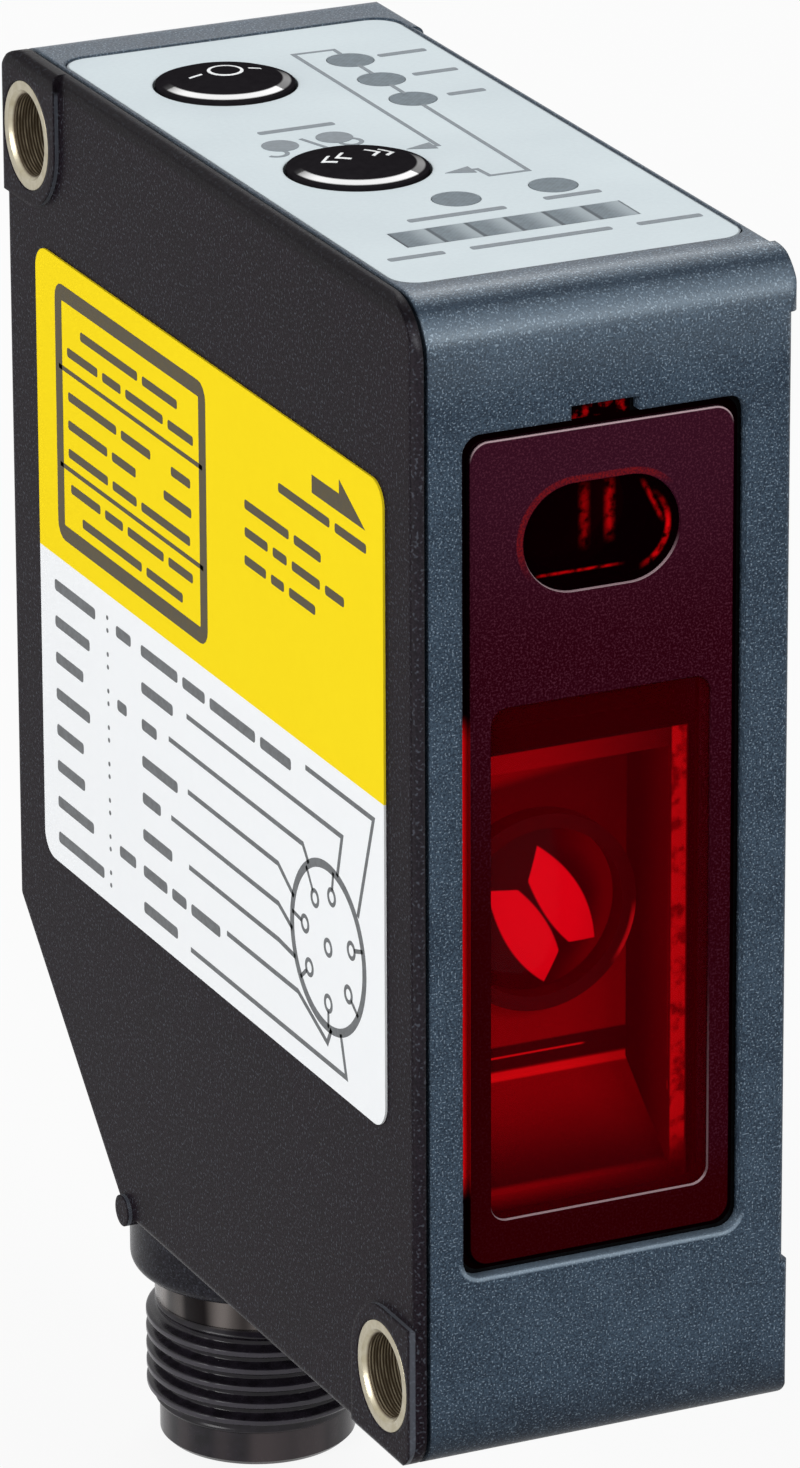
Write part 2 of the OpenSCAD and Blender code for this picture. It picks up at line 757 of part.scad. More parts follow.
module indicator_lamps() color([0.85, 0.85, 0.8]) {
  side = lamp_d * 0.6;
  for (spot = lamp_spots) translate([spot[0] - side / 2, from_front(spot[1]) - side / 2, from_top(board_top)])
    cube([side, side, lamp_h]);
  for (x = bar_spots) translate([x - side / 2, from_front(bar_from_front) - side / 2, from_top(board_top)])
    cube([side, side, lamp_h]);
}

// Right-angle header from the display board down to the main board
module board_header() color([0.1, 0.1, 0.11])
  translate([main_x - header_t, from_front(header_front), from_top(main_top + header_t)])
    cube([header_t, display_rear - header_front, main_top + header_t - board_low]);

module main_board() color([0.1, 0.35, 0.2]) difference() {
  along_x(main_x, frame_x)
    polygon(side_points([[main_front, main_top], [main_rear, main_top],
                         [main_rear, main_low], [main_front, main_low]]));
  for (spot = main_holes) pilot_hole_through(spot, main_x);
}

module pilot_hole_through(spot, x) {
  translate([x - past, from_front(spot[0]), from_top(spot[1])]) rotate([0, 90, 0])
    cylinder(r = screw_r + seat_clear, h = body_w);
}

module main_chips() color([0.12, 0.12, 0.13]) {
  top = main_top + 2 * board_post_r + 2 * board_gap;
  chip_t = 1.2;
  can_h = 3.4;
  can_r = (main_rear - main_front) / 8;
  low = top + processor_w + 2 * can_r + board_gap;
  translate([main_x - chip_t, from_front(main_mid) - processor_w / 2, from_top(top + processor_w)])
    cube([chip_t, processor_w, processor_w]);
  for (side = [-1, 1])
    translate([main_x - can_h, from_front(main_mid) + side * 1.5 * can_r, from_top(low)])
      rotate([0, 90, 0]) cylinder(r = can_r, h = can_h);
}

// Pan-head screw whose head seats at x, driven towards the right wall
module fixing_screw(spot, x) translate([x, from_front(spot[0]), from_top(spot[1])]) rotate([0, 90, 0]) {
  translate([0, 0, -screw_head_h]) cylinder(r = screw_head_r, h = screw_head_h);
  cylinder(r = screw_r, h = right_x - wall - x);
}

module board_screws() color([0.7, 0.7, 0.72]) for (spot = main_holes) fixing_screw(spot, main_x);

module optics_screws() color([0.7, 0.7, 0.72]) for (spot = ear_spots) fixing_screw(spot, ear_x);

module along_beam(from_y, to_y, depth, r) {
  translate([0, from_front(to_y), from_top(depth)]) rotate([90, 0, 0])
    cylinder(r = r, h = to_y - from_y);
}

// Casting with the sender's arm, the receiver's hood and the dark chamber behind the lens
module optics_frame() color([0.25, 0.05, 0.06]) difference() {
  union() {
    along_x(-hood_half, hood_half)
      polygon(side_points([[hood_front, hood_from_top], [hood_back + hood_wall, hood_from_top],
                           [hood_back + hood_wall, hood_low], [hood_front, hood_low]]));
    along_x(-hood_half, frame_x) polygon(side_points(
      [[arm_front, laser_from_top - arm_half], [arm_back, laser_from_top - arm_half],
       [arm_back, hood_from_top], [sensor_from_front, lens_from_top - chamber_half],
       [sensor_from_front, frame_low], [hood_back, frame_low],
       [hood_back, hood_from_top], [arm_front, hood_from_top]]));
    along_x(ear_x, frame_x) {
      ear(ear_spots[0], [-ear_r - 1, -ear_r], [ear_r + 1, 2 * ear_r]);
      ear(ear_spots[1], [-2 * ear_r - 1, -ear_r], [2 * ear_r + 1, 2 * ear_r]);
      ear(ear_spots[2], [-ear_r, 0], [2 * ear_r, ear_r + 1]);
    }
  }
  along_x(-hood_half + hood_wall, hood_half - hood_wall)
    polygon(side_points([[hood_front - past, hood_from_top + hood_wall],
                         [hood_back, hood_from_top + hood_wall + hood_slope],
                         [hood_back, floor_back], [hood_front - past, hood_low - hood_wall]]));
  along_beam(hood_back - past, lens_seat, lens_from_top, lens_d / 2 + seat_clear);
  along_beam(hood_back, lens_seat + past, lens_from_top, passage_r);
  along_x(-chamber_half, chamber_half) polygon(side_points(
    [[lens_seat + lens_ledge, lens_from_top - chamber_half], [sensor_from_front + past, lens_from_top],
     [sensor_from_front + past, sensor_centre + sensor_half + chamber_margin],
     [lens_seat + lens_ledge, lens_from_top + chamber_half]]));
  along_beam(arm_front - past, arm_back + past, laser_from_top, laser_r + seat_clear);
  for (spot = ear_spots) pilot_hole_through(spot, ear_x);
}

module ear(spot, corner, size) {
  translate(side_point(spot)) {
    circle(ear_r);
    translate(corner) square(size);
  }
}

// Turned barrel: lens seat in front, beam passage, seat of the diode behind
module laser_holder() color([0.62, 0.6, 0.55]) difference() {
  along_beam(laser_front, laser_back, laser_from_top, laser_r);
  along_beam(laser_front - past, collimator_seat, laser_from_top, collimator_d / 2 + seat_clear);
  along_beam(laser_front, laser_back, laser_from_top, collimator_d / 2 - beam_ledge);
  along_beam(laser_back - diode_base_t, laser_back + past, laser_from_top, collimator_d / 2 + seat_clear);
}

// Can with its base flange and three leads
module laser_diode() color([0.75, 0.68, 0.45]) {
  base_r = collimator_d / 2;
  base_front = laser_back - diode_base_t;
  lead_circle_r = base_r * 0.45;
  lead_d = 0.45;
  lead_len = 3;
  along_beam(base_front, laser_back, laser_from_top, base_r);
  along_beam(base_front - 2 * diode_base_t, base_front + fit, laser_from_top, base_r * 0.62);
  for (turn = [90, 210, 330])
    translate([lead_circle_r * cos(turn), from_front(laser_back - fit),
               from_top(laser_from_top) + lead_circle_r * sin(turn)])
      rotate([-90, 0, 0]) cylinder(d = lead_d, h = lead_len);
}

// Lens disc of diameter d with a domed front, set down on the plane back
module domed_lens(back, depth, d, rim, dome_r) {
  rise = dome_rise(dome_r, d / 2);
  intersection() {
    along_beam(back - rim - rise - past, back, depth, d / 2);
    translate([0, from_front(back - rim - rise + dome_r), from_top(depth)]) sphere(dome_r);
  }
}

module collimator_lens() color([0.75, 0.2, 0.2])
  domed_lens(collimator_seat, laser_from_top, collimator_d, collimator_d / 6, collimator_d);

module receiver_lens() color([0.8, 0.15, 0.2])
  domed_lens(lens_seat, lens_from_top, lens_d, lens_t, lens_dome_r);

module lens_ring() color([0.2, 0.03, 0.05]) difference() {
  along_beam(hood_back - lens_ring_h, hood_back, lens_from_top, lens_ring_r);
  along_beam(hood_back - 2 * lens_ring_h, hood_back + past, lens_from_top, lens_ring_bore);
}

module sensor_board() color([0.1, 0.35, 0.2])
  along_y(from_front(sensor_from_front), from_front(sensor_from_front + board_t))
    translate([-hood_half, from_top(frame_low)])
      square([hood_half + ear_x - board_gap, frame_low - lens_from_top + chamber_half]);

module image_sensor() color([0.15, 0.15, 0.17]) {
  chip_half = chamber_half - lens_ledge;
  chip_t = 1.5;
  translate([-chip_half, from_front(sensor_from_front - chip_t), from_top(sensor_centre + sensor_half)])
    cube([2 * chip_half, chip_t, 1.8 * sensor_half]);
}

// Cylinder cut off along the slant, with the spigot that turns in the housing
module connector_elbow() color([0.14, 0.14, 0.15]) difference() {
  union() {
    intersection() {
      translate([0, swivel_y, elbow_low]) rotate_extrude() intersection() {
        rounded_rect(-elbow_d / 2, 0, elbow_d / 2, 3 * elbow_d, elbow_r);
        square(4 * elbow_d);
      }
      at_swivel() translate([-2 * elbow_d, -2 * elbow_d, swivel_gap]) cube(4 * elbow_d);
    }
    at_swivel() translate([0, 0, spigot_end])
      cylinder(r = spigot_r, h = swivel_gap + past - spigot_end);
  }
  translate([0, swivel_y, elbow_low - past]) cylinder(d = neck_d + 2 * fit, h = shell_root + past);
  translate([0, swivel_y, elbow_low]) cylinder(d = socket_d - wall, h = elbow_drop - passage_d / 2);
  at_swivel() {
    translate([0, 0, spigot_end - past]) cylinder(d = passage_d, h = elbow_drop / 2 - spigot_end);
    ring_groove(oring_z, oring_d + groove_play, oring_ring_r - oring_r - fit);
    ring_groove(clip_z + clip_t / 2, clip_t + groove_play / 2, spigot_r - clip_bite);
  }
}

// Groove of width w round the spigot, down to radius r
module ring_groove(z, w, r) {
  translate([0, 0, z - w / 2]) difference() {
    cylinder(r = spigot_r + past, h = w);
    translate([0, 0, -past]) cylinder(r = r, h = w + 2 * past);
  }
}

module swivel_seal() color([0.08, 0.08, 0.08])
  at_swivel() translate([0, 0, oring_z]) rotate_extrude() translate([oring_ring_r, 0]) circle(oring_r);

// Snap ring with its mouth turned to the left
module swivel_clip() color([0.6, 0.6, 0.62])
  at_swivel() translate([0, 0, clip_z]) linear_extrude(clip_t) difference() {
    circle(d = clip_d);
    circle(spigot_r - clip_bite + fit);
    translate([-clip_d, -clip_d / 10]) square([clip_d, clip_d / 5]);
  }

// Threaded sleeve: root in the elbow, neck, thread crests and plain tip
module connector_shell() color([0.17, 0.17, 0.18]) translate([0, swivel_y, 0]) rotate_extrude()
  polygon(concat(
    [[socket_d / 2, shell_top], [neck_d / 2, shell_top], [neck_d / 2, thread_top]],
    [for (i = [0 : thread_turns - 1], step = [[0, 1], [0.4, 0], [0.6, 0]])
      [thread_d / 2 - thread_depth * step[1], thread_top - (i + step[0]) * thread_pitch - fit]],
    [[thread_d / 2 - thread_depth, thread_low], [tip_d / 2, thread_low],
     [tip_d / 2, tip_low + bush_lead], [tip_d / 2 - bush_lead, tip_low], [socket_d / 2, tip_low]]));

module pin_spots() {
  children();
  for (i = [0 : 6]) rotate(i * 360 / 7) translate([pin_circle_d / 2, 0, 0]) children();
}

module contact_insert() color([0.09, 0.09, 0.1]) translate([0, swivel_y, 0]) difference() {
  translate([0, 0, insert_face]) cylinder(d = socket_d - 2 * fit, h = insert_top - insert_face);
  translate([0, 0, insert_face - past]) pin_spots()
    cylinder(d = pin_d + 2 * fit, h = insert_top - insert_face + 2 * past);
}

// Eight contacts, one in the middle and seven round it
module contact_pins() color([0.85, 0.7, 0.35]) translate([0, swivel_y, 0]) {
  tip_z = tip_low + pin_sink;
  pin_spots() {
    translate([0, 0, tip_z + pin_d / 2]) cylinder(d = pin_d, h = insert_top + pin_tail - tip_z - pin_d / 2);
    translate([0, 0, tip_z + pin_d / 2]) sphere(d = pin_d);
  }
}

housing();
side_cover();
cover_seal();
side_label();
upper_bush();
lower_bush();
front_window();
window_gasket();
top_panel();
light_guide();
set_key();
select_key();
display_board();
key_switches();
indicator_lamps();
board_header();
main_board();
main_chips();
board_screws();
optics_frame();
optics_screws();
laser_holder();
laser_diode();
collimator_lens();
receiver_lens();
lens_ring();
sensor_board();
image_sensor();
connector_elbow();
connector_shell();
contact_insert();
contact_pins();
swivel_seal();
swivel_clip();
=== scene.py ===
import math
import bmesh
import bpy
import numpy as np
from mathutils import Matrix, Vector


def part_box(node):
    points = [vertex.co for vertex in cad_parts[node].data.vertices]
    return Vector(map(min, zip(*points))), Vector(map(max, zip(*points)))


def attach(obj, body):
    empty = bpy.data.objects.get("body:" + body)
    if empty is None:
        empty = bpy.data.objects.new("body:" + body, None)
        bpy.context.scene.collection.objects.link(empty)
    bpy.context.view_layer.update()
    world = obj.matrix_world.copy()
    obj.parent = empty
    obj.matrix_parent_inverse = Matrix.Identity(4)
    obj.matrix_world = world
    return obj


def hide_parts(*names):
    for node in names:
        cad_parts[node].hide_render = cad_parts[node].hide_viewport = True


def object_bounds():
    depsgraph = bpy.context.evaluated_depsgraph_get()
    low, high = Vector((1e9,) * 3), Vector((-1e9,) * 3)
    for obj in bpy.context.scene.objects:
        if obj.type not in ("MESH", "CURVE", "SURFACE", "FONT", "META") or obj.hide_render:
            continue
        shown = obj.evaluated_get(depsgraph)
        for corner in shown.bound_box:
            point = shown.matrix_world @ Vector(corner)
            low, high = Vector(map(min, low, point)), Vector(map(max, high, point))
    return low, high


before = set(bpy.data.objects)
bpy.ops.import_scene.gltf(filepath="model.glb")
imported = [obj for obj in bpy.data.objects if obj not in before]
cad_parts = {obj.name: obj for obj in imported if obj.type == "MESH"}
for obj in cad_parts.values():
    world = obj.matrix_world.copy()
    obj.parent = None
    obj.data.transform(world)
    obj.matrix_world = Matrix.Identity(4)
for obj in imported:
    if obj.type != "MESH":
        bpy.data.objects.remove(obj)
cadBounds = [list(corner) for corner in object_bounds()]
mm = 0.001
bevelSamples = 6
white = (1.0, 1.0, 1.0, 1.0)

# reference faces, all read from the frame
housingLow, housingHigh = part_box("housing")
labelLow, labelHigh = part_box("side_label")
panelLow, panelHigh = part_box("top_panel")
frontY = housingLow.y
topZ = housingHigh.z
leftX = labelHigh.x
print("frame loaded,", len(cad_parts), "nodes")


# one socket of a material's nodes: arithmetic on it adds Math nodes
class Value:
    def __init__(self, tree, socket=None):
        self.tree = tree
        self.socket = socket

    # any node: its type, the settings to make first, then the values or links of its sockets
    def node(self, kind, settings=None, sockets=None, output=0):
        made = self.tree.nodes.new(kind)
        for name, setting in (settings or {}).items():
            setattr(made, name, setting)
        for name, value in (sockets or {}).items():
            if isinstance(value, Value):
                self.tree.links.new(value.socket, made.inputs[name])
            else:
                made.inputs[name].default_value = value
        return Value(self.tree, made.outputs[output] if made.outputs else None)

    # another output of the same node
    def other(self, output):
        return Value(self.tree, self.socket.node.outputs[output])

    def math(self, operation, *values):
        return self.node("ShaderNodeMath", {"operation": operation}, dict(enumerate(values)))

    def __add__(self, other):
        return self.math("ADD", self, other)

    def __radd__(self, other):
        return self.math("ADD", other, self)

    def __sub__(self, other):
        return self.math("SUBTRACT", self, other)

    def __rsub__(self, other):
        return self.math("SUBTRACT", other, self)

    def __mul__(self, other):
        return self.math("MULTIPLY", self, other)

    def __rmul__(self, other):
        return self.math("MULTIPLY", other, self)

    def __truediv__(self, other):
        return self.math("DIVIDE", self, other)

    def __rtruediv__(self, other):
        return self.math("DIVIDE", other, self)

    def __pow__(self, other):
        return self.math("POWER", self, other)

    def __abs__(self):
        return self.math("ABSOLUTE", self)

    def most(self, other):
        return self.math("MAXIMUM", self, other)

    def wave(self):
        return self.math("SINE", self)

    def fraction(self):
        return self.math("FRACT", self)

    # smooth step from 0 at low to 1 at high
    def step(self, low, high):
        return self.node("ShaderNodeMapRange", {"interpolation_type": "SMOOTHSTEP"},
                         {"Value": self, "From Min": low, "From Max": high})

    # 1 between low and high, with soft ends
    def within(self, low, high, soft):
        return self.step(low - soft, low + soft) * (1 - self.step(high - soft, high + soft))

    # colour that goes from first to second as this value goes from 0 to 1
    def blend(self, first, second):
        return self.node("ShaderNodeMix", {"data_type": "RGBA"}, {0: self, 6: first, 7: second}, 2)

    # this value as a height in millimetres, on a surface whose edges are rounded by the given radius
    def bump(self, height, edge=None):
        sockets = {"Height": self, "Distance": height * mm}
        if edge is not None:
            sockets["Normal"] = self.node("ShaderNodeBevel", {"samples": bevelSamples}, {"Radius": edge * mm})
        return self.node("ShaderNodeBump", None, sockets)

    # this vector with each part multiplied by its own factor
    def stretch(self, *factors):
        return self.node("ShaderNodeVectorMath", {"operation": "MULTIPLY"}, {0: self, 1: factors})

    # cloudy noise with patches of about the given size in millimetres
    def noise(self, size, detail=2.0):
        return self.node("ShaderNodeTexNoise", None,
                         {"Vector": self, "Scale": 1 / (size * mm), "Detail": detail}, "Fac")


# screen colour of 0 to 255 as linear light
def tone(red, green, blue):
    share = np.array([red, green, blue]) / 255
    linear = np.where(share <= 0.04045, share / 12.92, ((share + 0.055) / 1.055) ** 2.4)
    return (*linear.tolist(), 1.0)


def newFinish(name):
    material = bpy.data.materials.new(name)
    material.use_nodes = True
    material.node_tree.nodes.clear()
    return material, Value(material.node_tree)


def closeFinish(material, shader):
    shader.node("ShaderNodeOutputMaterial", None, {"Surface": shader})
    return material


# the shader that a paint function makes of a look and of the place: object coordinates whole, then the
# millimetres from the left face, from the front face and from the top face down
def finish(name, paint, look, *more):
    material, root = newFinish(name)
    whole = root.node("ShaderNodeTexCoord", None, None, "Object")
    parts = root.node("ShaderNodeSeparateXYZ", None, {"Vector": whole})
    across = (parts.other("X") - leftX) / mm
    back = (parts.other("Y") - frontY) / mm
    down = (topZ - parts.other("Z")) / mm
    return closeFinish(material, paint(look, whole, across, back, down, *more))


# principled shader; an underscore stands for a space in a socket's name
def principled(root, color, roughness, normal=None, **fixed):
    sockets = {"Base Color": color, "Roughness": roughness}
    if normal is not None:
        sockets["Normal"] = normal
    sockets.update({name.replace("_", " "): value for name, value in fixed.items()})
    return root.node("ShaderNodeBsdfPrincipled", None, sockets)


# shader whose roughness and bump both follow one texture
def surface(look, color, texture, **fixed):
    roughness = look["roughness"] + texture * look["vary"]
    normal = texture.bump(look["depth"], look.get("edge"))
    return principled(texture, color, roughness, normal, Specular_IOR_Level=look["gloss"], **fixed)


# distance from an axis at right angles to both values, in millimetres
def awayFrom(first, second, axis):
    return ((first - axis[0]) ** 2.0 + (second - axis[1]) ** 2.0) ** 0.5


# distance outside a rounded box, in millimetres, below zero inside it
def outsideBox(across, down, box, radius):
    left, high, right, low = box
    sideways = (abs(across - (left + right) / 2) - ((right - left) / 2 - radius)).most(0.0)
    upright = (abs(down - (high + low) / 2) - ((low - high) / 2 - radius)).most(0.0)
    return (sideways ** 2.0 + upright ** 2.0) ** 0.5 - radius


grainMix = dict(grain=0.8, patch=0.2, contrast=(0.35, 0.65), patchRough=0.12, speckSmooth=0.08)


# moulded plastic with an eroded grain: dark hollows, lighter crests and fine bright specks; a function passed
# in changes colour from place to place with painted highlights and painted shade, changes roughness, and says
# where the surface is polished
def grainedPlastic(look, whole, across, back, down, lightAndPolish=None):
    grain = whole.noise(look["grain"])
    patch = whole.noise(look["patch"])
    speckSize, *speckRange = look["specks"]
    speck = whole.noise(speckSize, 0.0).step(*speckRange)
    crest = (grain * grainMix["grain"] + patch * grainMix["patch"]).step(*grainMix["contrast"])
    color = (speck * look["sparkle"]).blend(crest.blend(look["dark"], look["light"]), look["speck"])
    roughness = look["roughness"] + (patch - 0.5) * grainMix["patchRough"] - speck * grainMix["speckSmooth"]
    normal = grain.bump(look["depth"], look["edge"])
    if lightAndPolish is None:
        return principled(whole, color, roughness, normal, Specular_IOR_Level=look["gloss"])
    color, roughness, rubbed = lightAndPolish(look, across, back, down, color, roughness)
    dull = principled(whole, color, roughness, normal, Specular_IOR_Level=look["gloss"])
    polished = principled(whole, color, roughness, normal, Specular_IOR_Level=look["polish"],
                          Specular_Tint=look["sheen"])
    return whole.node("ShaderNodeMixShader", None, {0: rubbed, 1: dull, 2: polished})


housingLook = dict(
    dark=tone(38, 48, 60), light=tone(64, 79, 94), speck=tone(150, 168, 184), sparkle=0.5,
    specks=(0.1, 0.6, 0.76), grain=0.11, patch=2.5, depth=0.012, roughness=0.36, gloss=0.05, edge=0.4,
    polish=0.42, sheen=(0.8, 0.92, 1.0, 1.0), dim=tone(14, 0, 1),
    recess=((2.6, 17.8, 0.1), (7.0, 51.0, 0.1), (0.75, 3.3, 0.05)), lip=(2.55, 6.8, 17.85, 50.8), lipR=1.0,
    lipWidth=(0.0, 0.22, 0.06), sill=(49.8, 50.6), sillTint=0.45, sillSmooth=0.12, turn=(2.2, 2.8),
    dusk=(0.42, 0.74, 0.12), duskTint=0.5, duskDull=0.7, gleam=(1.0, 1.95, 0.25), gleamTint=0.16,
    top=(0.0, 0.12), topPolish=0.4, brow=(3.0, 6.0), foot=(56.5, 61.0), footTint=0.6, soot=tone(26, 26, 31))


# housing: painted shade inside the window recess, a painted highlight on the polished sill below it, a
# painted shaded band and a painted highlight band on the round front edge, and painted shade darkening the
# foot
def housingPaintedLightAndPolish(look, across, back, down, color, roughness):
    acrossRange, downRange, backRange = look["recess"]
    recess = across.within(*acrossRange) * down.within(*downRange) * back.within(*backRange)
    sill = outsideBox(across, down, look["lip"], look["lipR"]).within(*look["lipWidth"])
    sill = sill * down.step(*look["sill"])
    turn = 1 - back.step(*look["turn"])
    dusk = down.within(*look["dusk"]) * turn
    gleam = down.within(*look["gleam"]) * turn
    brow = look["topPolish"] + down.step(*look["top"]) * (1 - look["topPolish"])
    brow = brow * (1 - down.step(*look["brow"])) * (1 - dusk * look["duskDull"])
    # painted shade: the housing inside the window recess is darkened to the dim tone
    color = recess.blend(color, look["dim"])
    # painted highlight: the sill below the window recess is paled towards the speck tone
    color = (sill * look["sillTint"]).blend(color, look["speck"])
    # painted shade: a darker band across the round front edge
    color = (dusk * look["duskTint"]).blend(color, look["dark"])
    # painted highlight: a paler band lower on the round front edge
    color = (gleam * look["gleamTint"]).blend(color, look["speck"])
    # painted shade: the front darkens towards the bottom
    color = (down.step(*look["foot"]) * look["footTint"]).blend(color, look["soot"])
    return color, roughness - sill * look["sillSmooth"], sill.most(brow)


coverLook = dict(
    dark=tone(20, 15, 20), light=tone(32, 26, 32), speck=tone(94, 100, 110), sparkle=0.34,
    specks=(0.15, 0.58, 0.8), grain=0.14, patch=3.0, depth=0.008, roughness=0.32, gloss=0.02, edge=0.3,
    polish=0.15, sheen=(0.9, 0.94, 1.0, 1.0), rim=(0.005, 0.06), brow=(30.0, 60.0),
    proud=(-0.24, -0.04, 0.03), proudTint=0.4, crown=(0.8, 1.2), crownTint=0.6, crownDull=0.8,
    soot=tone(10, 8, 11))


# cover: polished along its rim and on the sides of the raised pads, with a painted highlight on the pad sides
# and painted shade along its top edge
def coverPaintedLightAndPolish(look, across, back, down, color, roughness):
    rim = across.step(*look["rim"]) * (1 - down.step(*look["brow"]))
    crown = 1 - down.step(*look["crown"])
    proud = across.within(*look["proud"]) * (1 - crown)
    # painted highlight on the sides of the raised pads
    color = (proud * look["proudTint"]).blend(color, look["speck"])
    # painted shade along the cover's top edge
    color = (crown * look["crownTint"]).blend(color, look["soot"])
    return color, roughness, (rim * (1 - crown * look["crownDull"])).most(proud)


elbowLook = dict(
    dark=tone(28, 27, 31), light=tone(43, 42, 48), speck=tone(74, 78, 86), sparkle=0.4,
    specks=(0.13, 0.6, 0.76), grain=0.15, patch=2.0, depth=0.008, roughness=0.28, gloss=0.06, edge=0.3)
rubberLook = dict(
    dark=tone(7, 7, 8), light=tone(13, 13, 15), speck=tone(26, 26, 29), sparkle=0.1,
    specks=(0.25, 0.6, 0.76), grain=0.3, patch=1.5, depth=0.01, roughness=0.7, gloss=0.02, edge=0.1)


# foil with a yellow field above a white one, faint fibres in its surface
def labelFoil(look, whole, across, back, down):
    fibre = whole.noise(look["fibre"], 3.0)
    shade = (fibre - 0.5) * look["fibreShade"] + whole.noise(look["cloud"], 1.0) * look["cloudShade"]
    yellowField = shade.blend(look["yellow"], look["yellowDeep"])
    whiteField = shade.blend(look["white"], look["whiteDeep"])
    return surface(look, down.step(*look["split"]).blend(yellowField, whiteField), fibre)


labelLook = dict(
    split=(26.32, 26.38), fibre=0.6, fibreShade=0.1, cloud=9.0, cloudShade=0.12, roughness=0.34, vary=0.14,
    depth=0.004, gloss=0.0, yellow=tone(250, 222, 34), yellowDeep=tone(238, 196, 14),
    white=tone(244, 246, 248), whiteDeep=tone(222, 226, 231))


# turned metal: fine rings about the axis on the end faces, and a darker, browner bore with pale marks along
# it
def turnedMetal(look, whole, across, back, down, axis):
    away = awayFrom(back, down, axis)
    rings = ((away + across) * look["rings"]).wave() * 0.5 + 0.5
    cloud = whole.noise(look["cloud"], 3.0)
    bore = 1 - away.step(*look["bore"])
    score = whole.stretch(*look["scoreStretch"]).noise(look["score"]).step(*look["scoreContrast"])
    mark = rings.step(*look["ringContrast"]) * (look["markLow"] + score * (1 - look["markLow"]))
    endFace = cloud.blend(look["bright"], look["grey"])
    color = bore.blend(endFace, mark.blend(look["brown"], look["lit"]))
    roughness = look["roughness"] + cloud * look["vary"] + bore * look["boreRough"]
    normal = (rings * look["ringHeight"] + cloud).bump(look["depth"], look["edge"])
    return principled(whole, color, roughness, normal, Metallic=1 - bore * look["boreDull"])


bushLook = dict(
    rings=38.0, ringContrast=(0.3, 0.9), ringHeight=0.4, bore=(2.13, 2.27), boreRough=0.1, boreDull=0.45,
    cloud=0.5, roughness=0.28, vary=0.14, depth=0.008, edge=0.12, score=0.2, scoreStretch=(1.0, 0.15, 0.15),
    scoreContrast=(0.36, 0.68), markLow=0.25, bright=tone(198, 192, 174), grey=tone(160, 149, 119),
    brown=tone(68, 52, 33), lit=tone(200, 187, 160))

glintLook = dict(
    arc=(-0.75, -0.5, 0.1), arcAcross=(12.2, 13.4), arcDown=(11.0, 13.5),
    streaks=[((10.5, 10.8, 0.25), (10.4, 13.0, 0.6), 0.6), ((6.6, 11.0, 0.6), (14.62, 14.74, 0.06), 0.6),
    ((9.1, 9.5, 0.2), (10.5, 13.2, 0.6), 0.3)], slant=(-0.1, 0.1, 0.12), slantStart=7.15, slantLean=0.5,
    slantDown=(10.8, 12.6, 0.4), slantTint=0.5)


# red glints in the oval: an arc inside its rim, upright and level streaks, and a slanting one
def ovalGlints(look, across, down, oval):
    lines = oval.within(*look["arc"]) * across.step(*look["arcAcross"]) * down.step(*look["arcDown"])
    for acrossRange, downRange, strength in look["streaks"]:
        lines = lines.most(across.within(*acrossRange) * down.within(*downRange) * strength)
    slant = (across - look["slantStart"] - down * look["slantLean"]).within(*look["slant"])
    return lines.most(slant * down.within(*look["slantDown"]) * look["slantTint"])


mattLook = dict(
    high=tone(50, 15, 30), middle=tone(42, 3, 14), low=tone(44, 0, 2), fade=(9.0, 20.0),
    redden=(20.0, 34.0), lean=(3.4, 16.0), leanShare=0.7, lowest=(44.0, 49.0), fleck=tone(88, 42, 58),
    fleckContrast=(0.45, 0.75), fleckTint=0.6, fleckFade=0.5, halo=(0.0, 0.34, 0.06),
    haloAcross=(9.5, 12.0), haloDown=(10.0, 11.0), haloEnd=(13.0, 15.0), haloLow=0.3,
    haloContrast=(0.35, 0.65), rimGlow=tone(110, 20, 24))


# matt face: purple above, redder below with a painted red glow strongest towards the left, a flecked grain,
# and a painted glow round the oval
def mattFace(look, across, down, oval, grain):
    color = down.step(*look["fade"]).blend(look["high"], look["middle"])
    low = down.step(*look["redden"]) * (1 - across.step(*look["lean"]) * look["leanShare"])
    low = low.most(down.step(*look["lowest"]))
    color = low.blend(color, look["low"])
    fleck = grain.step(*look["fleckContrast"]) * (look["fleckTint"] - low * look["fleckFade"])
    color = fleck.blend(color, look["fleck"])
    # painted glow round the oval
    halo = oval.within(*look["halo"]) * (1 - across.step(*look["haloAcross"]) * down.step(*look["haloDown"]))
    halo = halo * (1 - down.step(*look["haloEnd"]))
    halo = halo * (look["haloLow"] + grain.step(*look["haloContrast"]) * (1 - look["haloLow"]))
    return halo.blend(color, look["rimGlow"])
